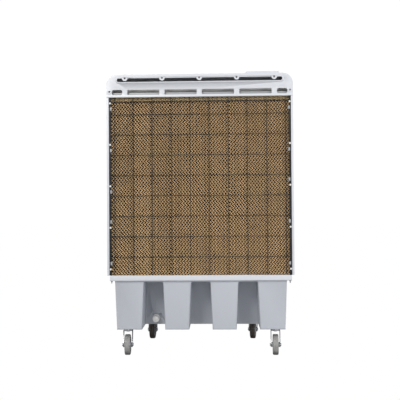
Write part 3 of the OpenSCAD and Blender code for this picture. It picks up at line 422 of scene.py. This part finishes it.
def highlightAbove(material, height, tone):
    # painted highlight: the rolled rim is painted paler than the walls below it, standing in for the light on
    # its top edge
    tree = material.node_tree
    shader = tree.nodes["Principled BSDF"]
    before = shader.inputs["Base Color"].links[0].from_socket
    place = addNode(tree, "ShaderNodeTexCoord").outputs["Object"]
    parts = addNode(tree, "ShaderNodeSeparateXYZ", values={"Vector": place})
    level = addNode(tree, "ShaderNodeMapRange", values={
        "Value": parts.outputs["Z"], "From Min": height - 0.001, "From Max": height + 0.002})
    tree.links.new(mixColour(tree, level.outputs[0], before, tone), shader.inputs["Base Color"])


# painted highlight on the tank's rim
highlightAbove(finishes["tank_plastic"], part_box("tank_walls")[1].z - 0.026, (0.69, 0.715, 0.765))
# painted shade: a dark copy of the tread for the far castors, standing in for the shade under the tank
farTread = tread("farTread", (0.075, 0.062, 0.052), 0.4)
slotOf = {row["node"]: row["material_slot"] for row in frame["record"]["subparts"]}
print("materials ready:", len(finishes))


# moulded and pressed pieces: a CAD node's own shape with soft edges

def cleanCopy(nodeName):
    # a node's mesh with its seams joined and its flat faces whole
    mesh = bmesh.new()
    mesh.from_mesh(nodes[nodeName].data)
    bmesh.ops.remove_doubles(mesh, verts=mesh.verts, dist=0.00001)
    bmesh.ops.dissolve_limit(mesh, angle_limit=math.radians(0.6), verts=mesh.verts, edges=mesh.edges)
    return mesh


def toObject(mesh, name, material):
    data = bpy.data.meshes.new(name)
    mesh.normal_update()
    mesh.to_mesh(data)
    mesh.free()
    data.materials.append(material)
    piece = bpy.data.objects.new(name, data)
    bpy.context.scene.collection.objects.link(piece)
    return piece


def smoothByAngle(piece, degrees=32):
    data = piece.data
    data.polygons.foreach_set("use_smooth", [True] * len(data.polygons))
    data.set_sharp_from_angle(angle=math.radians(degrees))
    data.update()


def standFor(piece, *nodeNames):
    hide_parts(*nodeNames)
    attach(piece, bodyOf[nodeNames[0]])
    return piece


def softEdges(mesh, width, segments, wanted):
    edges = [edge for edge in mesh.edges
             if edge.is_manifold and edge.calc_face_angle(0) > math.radians(28) and wanted(edge)]
    if edges:
        bmesh.ops.bevel(mesh, geom=edges, offset=width, offset_type="OFFSET", segments=segments,
                        profile=0.5, affect="EDGES", clamp_overlap=True)


softNodes = {
    "tank_bolts": (0.0004, 1), "castor_plates": (0.0006, 2), "drain_collar": (0.0008, 2), "drain_cap": (0.001,
                                                                                                        3),
    "level_window": (0.0008, 2), "fill_door": (0.001, 2), "top_lid": (0.0014, 3),
    "net_clips": (0.0005, 2), "water_trough": (0.0008, 2), "pump": (0.0012, 2),
    "fan_motor": (0.003, 3), "motor_bracket": (0.001, 2), "fan_shroud": (0.0012, 2),
    "fan_rotor": (0.0009, 2), "outlet_frame": (0.003, 3), "control_panel": (0.0015, 3),
    "display_window": (0.0004, 2), "speed_knob": (0.0008, 2), "power_button": (0.0012, 3),
    "swing_button": (0.0012, 3), "cable_gland": (0.0008, 2), "water_inlet": (0.0006, 2),
    "float_valve": (0.0008, 2), "front_panel": (0.0012, 2), "left_side_panel": (0.0012, 2),
    "right_side_panel": (0.0012, 2), "spray_pipe": (0.0004, 2),
}
for k in range(1, 5):
    softNodes[f"castor_fork_{k}"] = (0.0007, 2)
    softNodes[f"wheel_hub_{k}"] = (0.001, 2)
for k in range(1, 6):
    softNodes[f"louvre_{k}"] = (0.0015, 3)
for k in range(1, 4):
    softNodes[f"deflector_{k}"] = (0.0012, 3)


def camel(nodeName):
    words = nodeName.split("_")
    return words[0] + "".join(word.capitalize() for word in words[1:])


for nodeName, (width, segments) in softNodes.items():
    mesh = cleanCopy(nodeName)
    softEdges(mesh, width, segments, lambda edge: True)
    piece = toObject(mesh, camel(nodeName), finishes[slotOf[nodeName]])
    smoothByAngle(piece)
    standFor(piece, nodeName)
print("soft edges on", len(softNodes), "pieces")


# Geometry Nodes: trees with named inputs, each turned into a plain mesh

def newTree(name, inputs):
    tree = bpy.data.node_groups.new(name, "GeometryNodeTree")
    for label, kind, value in inputs:
        socket = tree.interface.new_socket(label, in_out="INPUT", socket_type=kind)
        if value is not None:
            socket.default_value = value
    tree.interface.new_socket("Geometry", in_out="OUTPUT", socket_type="NodeSocketGeometry")
    return tree, tree.nodes.new("NodeGroupInput"), tree.nodes.new("NodeGroupOutput")


def finishTree(tree, geometry, start, end):
    real = addNode(tree, "GeometryNodeRealizeInstances", values={"Geometry": geometry})
    painted = addNode(tree, "GeometryNodeSetMaterial", values={
        "Geometry": real.outputs[0], "Material": start.outputs["Material"]})
    tree.links.new(painted.outputs[0], end.inputs["Geometry"])


def grow(tree, name, values, base=None):
    # runs a tree on a base mesh and keeps the result as a plain object
    holder = bpy.data.objects.new(name + "Holder", base or bpy.data.meshes.new(name + "Base"))
    bpy.context.scene.collection.objects.link(holder)
    modifier = holder.modifiers.new("grow", "NODES")
    modifier.node_group = tree
    identifiers = {item.name: item.identifier for item in tree.interface.items_tree if item.in_out == "INPUT"}
    for label, value in values.items():
        modifier[identifiers[label]] = value
    depsgraph = bpy.context.evaluated_depsgraph_get()
    data = bpy.data.meshes.new_from_object(holder.evaluated_get(depsgraph))
    data.name = name
    bpy.data.objects.remove(holder)
    piece = bpy.data.objects.new(name, data)
    bpy.context.scene.collection.objects.link(piece)
    return piece


def bake(piece):
    # applies the modifiers that are still live on a piece
    depsgraph = bpy.context.evaluated_depsgraph_get()
    data = bpy.data.meshes.new_from_object(piece.evaluated_get(depsgraph))
    data.name = piece.name
    piece.modifiers.clear()
    piece.data = data
    return piece


# corrugated pads

def makeCorrugatedTree():
    tree, start, end = newTree("corrugatedPad", [
        ("Sheets", "NodeSocketInt", 40), ("Pitch", "NodeSocketFloat", 0.0072),
        ("Wave", "NodeSocketFloat", 0.0187), ("Amplitude", "NodeSocketFloat", 0.0033),
        ("Length", "NodeSocketFloat", 1.0), ("Depth", "NodeSocketFloat", 0.1),
        ("Points", "NodeSocketInt", 400), ("Rise", "NodeSocketFloat", 1.0), ("Fall", "NodeSocketFloat", -1.0),
        ("Jitter", "NodeSocketFloat", 0.0004), ("Seed", "NodeSocketInt", 1),
        ("Material", "NodeSocketMaterial", None)])
    pair = mathNode(tree, "MULTIPLY", start.outputs["Pitch"], 2.0)
    half = mathNode(tree, "MULTIPLY", start.outputs["Sheets"], 0.5)
    join = addNode(tree, "GeometryNodeJoinGeometry")
    for parity, slant in ((0, "Rise"), (1, "Fall")):
        grid = addNode(tree, "GeometryNodeMeshGrid", values={
            "Size X": start.outputs["Length"], "Size Y": start.outputs["Depth"],
            "Vertices X": start.outputs["Points"], "Vertices Y": 2})
        parts = addNode(tree, "ShaderNodeSeparateXYZ",
                        values={"Vector": addNode(tree, "GeometryNodeInputPosition").outputs[0]})
        turns = mathNode(tree, "DIVIDE", parts.outputs["X"], start.outputs["Wave"])
        swing = mathNode(tree, "SINE", mathNode(tree, "MULTIPLY", turns, 2 * math.pi))
        across = mathNode(tree, "MULTIPLY", swing, start.outputs["Amplitude"])
        lean = mathNode(tree, "MULTIPLY", parts.outputs["Y"], start.outputs[slant])
        along = mathNode(tree, "ADD", parts.outputs["X"], lean)
        where = addNode(tree, "ShaderNodeCombineXYZ",
                        values={"X": across, "Y": parts.outputs["Y"], "Z": along})
        sheet = addNode(tree, "GeometryNodeSetPosition", values={
            "Geometry": grid.outputs["Mesh"], "Position": where.outputs[0]})
        first = addNode(tree, "ShaderNodeCombineXYZ", values={
            "X": mathNode(tree, "MULTIPLY", start.outputs["Pitch"], float(parity))})
        step = addNode(tree, "ShaderNodeCombineXYZ", values={"X": pair})
        line = addNode(tree, "GeometryNodeMeshLine", {"mode": "OFFSET"}, {
            "Count": half, "Start Location": first.outputs[0], "Offset": step.outputs[0]})
        # a sheet sits half a wave from the one before it, give or take a slow sway and a little play
        loose = addNode(tree, "FunctionNodeRandomValue", {"data_type": "FLOAT"}, {
            2: 0.0, 3: 0.04, "Seed": mathNode(tree, "ADD", start.outputs["Seed"], float(parity))})
        number = mathNode(tree, "MULTIPLY", addNode(tree, "GeometryNodeInputIndex").outputs[0], 2.0)
        number = mathNode(tree, "ADD", number, float(parity))
        turned = mathNode(tree, "SINE", mathNode(tree, "ADD", mathNode(tree, "MULTIPLY", number, 0.11),
                                                 start.outputs["Seed"]))
        drift = mathNode(tree, "ADD", mathNode(tree, "MULTIPLY", number, 0.5),
                         mathNode(tree, "MULTIPLY", turned, 0.3))
        # 3.0 keeps the sum above zero
        phase = addNode(tree, "ShaderNodeMath", {"operation": "FRACT"}, {
            0: mathNode(tree, "ADD", mathNode(tree, "ADD", loose.outputs[1], drift), 3.0)}).outputs[0]
        slide = mathNode(tree, "MULTIPLY", phase, start.outputs["Wave"])
        nudge = addNode(tree, "FunctionNodeRandomValue", {"data_type": "FLOAT"}, {
            2: mathNode(tree, "MULTIPLY", start.outputs["Jitter"], -1.0), 3: start.outputs["Jitter"],
            "Seed": mathNode(tree, "ADD", start.outputs["Seed"], 7.0 + parity)})
        move = addNode(tree, "ShaderNodeCombineXYZ", values={"X": nudge.outputs[1], "Z": slide})
        placed = addNode(tree, "GeometryNodeSetPosition", values={
            "Geometry": line.outputs[0], "Offset": move.outputs[0]})
        copies = addNode(tree, "GeometryNodeInstanceOnPoints", values={
            "Points": placed.outputs[0], "Instance": sheet.outputs[0]})
        tone = addNode(tree, "FunctionNodeRandomValue", {"data_type": "FLOAT"}, {
            2: 0.0, 3: 1.0, "Seed": mathNode(tree, "ADD", start.outputs["Seed"], 20.0 + parity)})
        named = addNode(tree, "GeometryNodeStoreNamedAttribute", {"data_type": "FLOAT", "domain": "INSTANCE"},
                        {
            "Geometry": copies.outputs[0], "Name": "sheetTone", "Value": tone.outputs[1]})
        tree.links.new(named.outputs[0], join.inputs[0])
    finishTree(tree, join.outputs[0], start, end)
    return tree


def trimmedPad(piece, turn, low, high, axis, thickness):
    # puts the sheets in place, cuts them off level and gives the paper its thickness
    piece.data.transform(turn)
    mesh = bmesh.new()
    mesh.from_mesh(piece.data)
    for limit, sign in ((low, -1), (high, 1)):
        point, normal = Vector((0, 0, 0)), Vector((0, 0, 0))
        point[axis], normal[axis] = limit, sign
        whole = list(mesh.verts) + list(mesh.edges) + list(mesh.faces)
        bmesh.ops.bisect_plane(mesh, geom=whole, plane_co=point, plane_no=normal, clear_outer=True)
    mesh.to_mesh(piece.data)
    mesh.free()
    solid = piece.modifiers.new("paper", "SOLIDIFY")
    solid.thickness = thickness
    solid.offset = 0
    return bake(piece)


corrugatedTree = makeCorrugatedTree()
padDesign = {
    "sheets": 120, "slabs": 3, "wave": 0.0187, "pointsPerWave": 8, "amplitude": 0.0034,
    "paper": 0.0010, "margin": 0.0006, "sideGap": 0.006, "trim": 0.0005, "jitter": 0.0003, "seed": 11,
    "seedStep": 40,
}
padLow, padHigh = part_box("main_pad")
padDepth = padHigh.y - padLow.y - 2 * padDesign["margin"]
padHeight = padHigh.z - padLow.z
padSpan = padHigh.x - padLow.x - 2 * padDesign["amplitude"] - 2 * padDesign["sideGap"]
padPitch = padSpan / (padDesign["sheets"] - 1)
slabSheets = padDesign["sheets"] // padDesign["slabs"]
sheetLength = padHeight + 2 * padDepth + 2 * padDesign["wave"]
for slab in range(padDesign["slabs"]):
    piece = grow(corrugatedTree, f"mainPad{slab + 1}", {
        "Sheets": slabSheets, "Pitch": padPitch, "Wave": padDesign["wave"],
        "Amplitude": padDesign["amplitude"], "Length": sheetLength, "Depth": padDepth,
        "Points": int(sheetLength / padDesign["wave"] * padDesign["pointsPerWave"]),
        "Rise": 1.0, "Fall": -1.0, "Jitter": padDesign["jitter"],
        "Seed": padDesign["seed"] + padDesign["seedStep"] * slab,
        "Material": finishes["pad_paper"]})
    firstX = padLow.x + padDesign["amplitude"] + padDesign["sideGap"] + slab * slabSheets * padPitch
    middle = Vector((firstX, (padLow.y + padHigh.y) / 2, (padLow.z + padHigh.z) / 2 - padDesign["wave"] / 2))
    trimmedPad(piece, Matrix.Translation(middle), padLow.z + padDesign["trim"], padHigh.z - padDesign["trim"],
               2, padDesign["paper"])
    standFor(piece, "main_pad")

headDesign = {"sheets": 4, "wave": 0.0225, "pointsPerWave": 10, "amplitude": 0.0021, "paper": 0.0012,
              "slant": 0.6, "trim": 0.001, "seed": 5}
headLow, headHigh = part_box("distributor_pad")
headLength = headHigh.x - headLow.x + 2 * padDepth
headPitch = (headHigh.z - headLow.z) / headDesign["sheets"]
piece = grow(corrugatedTree, "distributorPad", {
    "Sheets": headDesign["sheets"], "Pitch": headPitch, "Wave": headDesign["wave"],
    "Amplitude": headDesign["amplitude"], "Length": headLength, "Depth": padDepth,
    "Points": int(headLength / headDesign["wave"] * headDesign["pointsPerWave"]),
    "Rise": headDesign["slant"], "Fall": -headDesign["slant"], "Jitter": 0.0, "Seed": headDesign["seed"],
    "Material": finishes["pad_paper_new"]})
onItsSide = Matrix.Translation((0, (headLow.y + headHigh.y) / 2, headLow.z + headPitch / 2)) @ Matrix(
    ((0, 0, 1, 0), (0, 1, 0, 0), (1, 0, 0, 0), (0, 0, 0, 1)))
trimmedPad(piece, onItsSide, headLow.x + headDesign["trim"], headHigh.x - headDesign["trim"], 0,
           headDesign["paper"])
standFor(piece, "distributor_pad")
print("pads ready")


# wire net

def makeNetTree():
    tree, start, end = newTree("wireNet", [
        ("Uprights", "NodeSocketInt", 10), ("Upright Pitch", "NodeSocketFloat", 0.092),
        ("Upright Length", "NodeSocketFloat", 0.86), ("Levels", "NodeSocketInt", 8),
        ("Level Pitch", "NodeSocketFloat", 0.0985), ("Level Length", "NodeSocketFloat", 0.87),
        ("First Level", "NodeSocketFloat", 0.09), ("Radius", "NodeSocketFloat", 0.0015),
        ("Sides", "NodeSocketInt", 10), ("Material", "NodeSocketMaterial", None)])
    join = addNode(tree, "GeometryNodeJoinGeometry")
    for word, axis in (("Upright", "X"), ("Level", "Z")):
        wire = addNode(tree, "GeometryNodeMeshCylinder", values={
            "Vertices": start.outputs["Sides"], "Radius": start.outputs["Radius"],
            "Depth": start.outputs[word + " Length"]})
        step = addNode(tree, "ShaderNodeCombineXYZ", values={axis: start.outputs[word + " Pitch"]})
        count = start.outputs[word + "s"]
        if word == "Upright":
            span = mathNode(tree, "MULTIPLY", mathNode(tree, "SUBTRACT", count, 1.0),
                            start.outputs["Upright Pitch"])
            first = addNode(tree, "ShaderNodeCombineXYZ", values={
                "X": mathNode(tree, "MULTIPLY", span, -0.5),
                "Z": mathNode(tree, "MULTIPLY", start.outputs["Upright Length"], 0.5)})
            turn = (0, 0, 0)
        else:
            behind = mathNode(tree, "MULTIPLY", start.outputs["Radius"], 1.6)
            first = addNode(tree, "ShaderNodeCombineXYZ",
                            values={"Y": behind, "Z": start.outputs["First Level"]})
            turn = (0, math.radians(90), 0)
        line = addNode(tree, "GeometryNodeMeshLine", {"mode": "OFFSET"}, {
            "Count": count, "Start Location": first.outputs[0], "Offset": step.outputs[0]})
        copies = addNode(tree, "GeometryNodeInstanceOnPoints", values={
            "Points": line.outputs[0], "Instance": wire.outputs["Mesh"], "Rotation": turn})
        tree.links.new(copies.outputs[0], join.inputs[0])
    finishTree(tree, join.outputs[0], start, end)
    return tree


netDesign = {"uprights": 10, "uprightPitch": 0.092, "levels": 8, "levelPitch": 0.0985, "radius": 0.0015,
             "bar": 0.010, "barSoft": 0.0012, "sides": 12, "uprightShort": 0.001, "levelShort": 0.004,
             "firstShare": 0.9}
topWire = {"in": 0.01, "front": 0.004, "back": 0.0005, "under": 0.0025, "over": 0.0015, "soft": 0.0008}
netLow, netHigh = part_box("pad_net")
piece = grow(makeNetTree(), "netWires", {
    "Uprights": netDesign["uprights"], "Upright Pitch": netDesign["uprightPitch"],
    "Upright Length": netHigh.z - netLow.z - netDesign["uprightShort"], "Levels": netDesign["levels"],
    "Level Pitch": netDesign["levelPitch"], "Level Length": netHigh.x - netLow.x - netDesign["levelShort"],
    "First Level": netDesign["firstShare"] * netDesign["levelPitch"], "Radius": netDesign["radius"],
    "Sides": netDesign["sides"],
    "Material": finishes["black_wire"]})
piece.data.transform(Matrix.Translation((0, (netLow.y + netHigh.y) / 2 - netDesign["radius"],
                                         netLow.z + netDesign["uprightShort"] / 2)))
smoothByAngle(piece, 40)
standFor(piece, "pad_net")


def softBox(mesh, low, high, soft, segments=2):
    made = bmesh.ops.create_cube(mesh, size=1.0)["verts"]
    size = [b - a for a, b in zip(low, high)]
    centre = [(a + b) / 2 for a, b in zip(low, high)]
    bmesh.ops.scale(mesh, vec=size, verts=made)
    bmesh.ops.translate(mesh, vec=centre, verts=made)
    edges = list({edge for vert in made for edge in vert.link_edges})
    bmesh.ops.bevel(mesh, geom=edges, offset=soft, segments=segments, profile=0.5, affect="EDGES")


mesh = bmesh.new()
for side in (-1, 1):
    outer = side * netHigh.x
    inner = side * (netHigh.x - netDesign["bar"])
    softBox(mesh, (min(outer, inner), netLow.y, netLow.z), (max(outer, inner), netHigh.y, netHigh.z),
            netDesign["barSoft"])
softBox(mesh, (netLow.x + topWire["in"], netHigh.y - topWire["front"], headLow.z - topWire["under"]),
        (netHigh.x - topWire["in"], netHigh.y - topWire["back"],
         headLow.z + topWire["over"]), topWire["soft"])
piece = toObject(mesh, "netBars", finishes["black_wire"])
smoothByAngle(piece)
standFor(piece, "pad_net")
print("net ready")


# floor

mesh = bmesh.new()
bmesh.ops.create_grid(mesh, x_segments=1, y_segments=1, size=studio["floorSize"])
floorPaint, floorTree, floorShader = newMaterial("floorPaint")
place = addNode(floorTree, "ShaderNodeTexCoord").outputs["Object"]
floorCloud = addNode(floorTree, "ShaderNodeTexNoise", values={"Vector": place, "Scale": 0.6})
floorTree.links.new(mixColour(floorTree, floorCloud.outputs["Fac"], studio["floor"], studio["floorPale"]),
                    floorShader.inputs["Base Color"])
floorShader.inputs["Roughness"].default_value = 0.9
glow = addNode(floorTree, "ShaderNodeEmission", values={"Color": (1, 1, 1, 1), "Strength": 1.0})
seen = addNode(floorTree, "ShaderNodeLightPath").outputs["Is Camera Ray"]
split = addNode(floorTree, "ShaderNodeMixShader",
                values={0: seen, 1: floorShader.outputs[0], 2: glow.outputs[0]})
floorOut = next(node for node in floorTree.nodes if node.type == "OUTPUT_MATERIAL")
floorTree.links.new(split.outputs[0], floorOut.inputs["Surface"])
floor = toObject(mesh, "floor", floorPaint)
floor.location.z = cadBox[0].z - studio["floorDrop"]


# tank: walls, folds and floor in one moulding

def unionOf(*nodeNames):
    # one closed mesh from nodes that touch each other
    parts = [toObject(cleanCopy(nodeName), camel(nodeName) + "Part", finishes[slotOf[nodeName]])
             for nodeName in nodeNames]
    for other in parts[1:]:
        modifier = parts[0].modifiers.new("union", "BOOLEAN")
        modifier.operation = "UNION"
        modifier.solver = "EXACT"
        modifier.object = other
    whole = bake(parts[0])
    mesh = bmesh.new()
    mesh.from_mesh(whole.data)
    for part in parts:
        bpy.data.objects.remove(part)
    bmesh.ops.remove_doubles(mesh, verts=mesh.verts, dist=0.00002)
    bmesh.ops.dissolve_limit(mesh, angle_limit=math.radians(0.6), verts=mesh.verts, edges=mesh.edges)
    return mesh


def bothAt(edge, axis, value, near=0.0002):
    return all(abs(vert.co[axis] - value) < near for vert in edge.verts)


tankDesign = {"foldSoft": 0.006, "rimSoft": 0.0032, "smallSoft": 0.0008}
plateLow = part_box("tank_floor_plate")[0]
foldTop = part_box("tank_grooves")[1].z
wallLow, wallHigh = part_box("tank_walls")
rimUnder = foldTop + 0.001
mesh = unionOf("tank_walls", "tank_grooves", "tank_floor_plate")
softEdges(mesh, tankDesign["foldSoft"], 4,
          lambda edge: bothAt(edge, 1, plateLow.y) and max(vert.co.z for vert in edge.verts) < rimUnder)
softEdges(mesh, tankDesign["rimSoft"], 4,
          lambda edge: bothAt(edge, 2, wallHigh.z) or bothAt(edge, 1, wallLow.y) or bothAt(edge, 0,
                                                                                           wallHigh.x)
          or bothAt(edge, 0, wallLow.x))
softEdges(mesh, tankDesign["smallSoft"], 2, lambda edge: edge.calc_length() > 0.004)
piece = toObject(mesh, "tankShell", finishes["tank_plastic"])
smoothByAngle(piece, 40)
standFor(piece, "tank_walls", "tank_grooves", "tank_floor_plate")
print("tank ready")


# cap and top panel

capDesign = {
    "outlineSoft": 0.004, "holeSoft": 0.0012, "skin": 0.004, "slotZone": 0.060, "foot": 0.004,
    "cornerZone": 0.051, "sideZone": 0.0155, "topLevel": 1.3699, "shoulderLevel": 1.3555,
}
capLow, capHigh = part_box("rear_cap")
mesh = cleanCopy("rear_cap")
skinY = netLow.y - capDesign["skin"]
slotUnder = capHigh.z - capDesign["slotZone"]


def onOutline(edge):
    middle = (edge.verts[0].co + edge.verts[1].co) / 2
    high = middle.z > capLow.z + capDesign["foot"]
    wide = abs(middle.x) > capHigh.x - capDesign["cornerZone"] or middle.z > capDesign["topLevel"]
    outer = abs(middle.x) > capHigh.x - capDesign["sideZone"] or middle.z > capDesign["shoulderLevel"]
    return high and wide and outer and bothAt(edge, 1, skinY)


softEdges(mesh, capDesign["outlineSoft"], 4, onOutline)
softEdges(mesh, capDesign["holeSoft"], 2, lambda edge: max(vert.co.z for vert in edge.verts) < slotUnder)
piece = toObject(mesh, "rearCap", finishes["shell_plastic"])
smoothByAngle(piece, 40)
standFor(piece, "rear_cap")
mesh = cleanCopy("top_panel")
softEdges(mesh, 0.001, 2, lambda edge: edge.calc_length() > 0.004)
piece = toObject(mesh, "topPanel", finishes["shell_plastic"])
smoothByAngle(piece, 40)
standFor(piece, "top_panel")
print("cap ready")


# screws: one head with a cross recess, set at each CAD screw

def islandBoxes(nodeName):
    # low and high corner of each loose solid in a node
    mesh = cleanCopy(nodeName)
    left, boxes = set(mesh.verts), []
    while left:
        stack, island = [left.pop()], []
        while stack:
            vert = stack.pop()
            island.append(vert.co.copy())
            for edge in vert.link_edges:
                other = edge.other_vert(vert)
                if other in left:
                    left.remove(other)
                    stack.append(other)
        boxes.append(([min(co[i] for co in island) for i in range(3)],
                      [max(co[i] for co in island) for i in range(3)]))
    mesh.free()
    return sorted(boxes)


def screwMesh(radius, headHeight, shankRadius, length):
    # screw along +Y with its head's outer face at Y 0
    steps = 24
    star = [0.52 if k % 6 in (0, 1, 5) else 0.2 for k in range(steps)]
    rings = [([0.30 * share for share in star], 0.55 * headHeight), (star, 0.08 * headHeight),
             ([0.62] * steps, 0.03 * headHeight), ([0.84] * steps, 0.16 * headHeight),
             ([0.97] * steps, 0.48 * headHeight), ([1.0] * steps, 0.75 * headHeight), ([1.0] * steps,
                                                                                       headHeight),
             ([shankRadius / radius] * steps, headHeight), ([shankRadius / radius] * steps, length)]
    mesh = bmesh.new()
    rows = []
    for shares, y in rings:
        rows.append([mesh.verts.new((radius * share * math.sin(2 * math.pi * k / steps), y,
                                     radius * share * math.cos(2 * math.pi * k / steps)))
                     for k, share in enumerate(shares)])
    for inner, outer in zip(rows, rows[1:]):
        for k in range(steps):
            mesh.faces.new((inner[k], inner[k - 1], outer[k - 1], outer[k]))
    mesh.faces.new(rows[0])
    mesh.faces.new(list(reversed(rows[-1])))
    bmesh.ops.recalc_face_normals(mesh, faces=mesh.faces)
    return mesh


def makeScatterTree():
    tree, start, end = newTree("screwScatter", [
        ("Places", "NodeSocketGeometry", None), ("Screw", "NodeSocketObject", None),
        ("Turn", "NodeSocketFloat", 1.5), ("Seed", "NodeSocketInt", 1), ("Material", "NodeSocketMaterial",
                                                                         None)])
    screw = addNode(tree, "GeometryNodeObjectInfo", values={"Object": start.outputs["Screw"]})
    spin = addNode(tree, "FunctionNodeRandomValue", {"data_type": "FLOAT"}, {
        2: 0.0, 3: start.outputs["Turn"], "Seed": start.outputs["Seed"]})
    turn = addNode(tree, "ShaderNodeCombineXYZ", values={"Y": spin.outputs[1]})
    copies = addNode(tree, "GeometryNodeInstanceOnPoints", values={
        "Points": start.outputs["Places"], "Instance": screw.outputs["Geometry"],
        "Rotation": turn.outputs[0]})
    finishTree(tree, copies.outputs[0], start, end)
    return tree


scatterTree = makeScatterTree()
for nodeName, shank, headShare in (("net_screws", 0.002, 0.6), ("cap_screws", 0.002, 0.55)):
    boxes = islandBoxes(nodeName)
    low, high = boxes[0]
    headRadius = (high[0] - low[0]) / 2
    screw = toObject(screwMesh(headRadius, headShare * headRadius, shank, high[1] - low[1]),
                     camel(nodeName) + "One",
                     finishes[slotOf[nodeName]])
    places = bpy.data.meshes.new(camel(nodeName) + "Places")
    places.from_pydata([((low[0] + high[0]) / 2, low[1], (low[2] + high[2]) / 2) for low, high in boxes], [],
                       [])
    piece = grow(scatterTree, camel(nodeName), {
        "Screw": screw, "Turn": 1.5, "Seed": 3, "Material": finishes[slotOf[nodeName]]}, places)
    bpy.data.objects.remove(screw)
    smoothByAngle(piece, 40)
    standFor(piece, nodeName)
print("screws ready")


# finish of the CAD parts still shown

for nodeName, node in nodes.items():
    if not node.hide_render:
        # the far castors get a darker tread as painted shade, for the shade under the tank
        shadedFar = nodeName in ("wheel_tyre_3", "wheel_tyre_4")
        node.data.materials.clear()
        node.data.materials.append(farTread if shadedFar else finishes[slotOf[nodeName]])
        smoothByAngle(node)
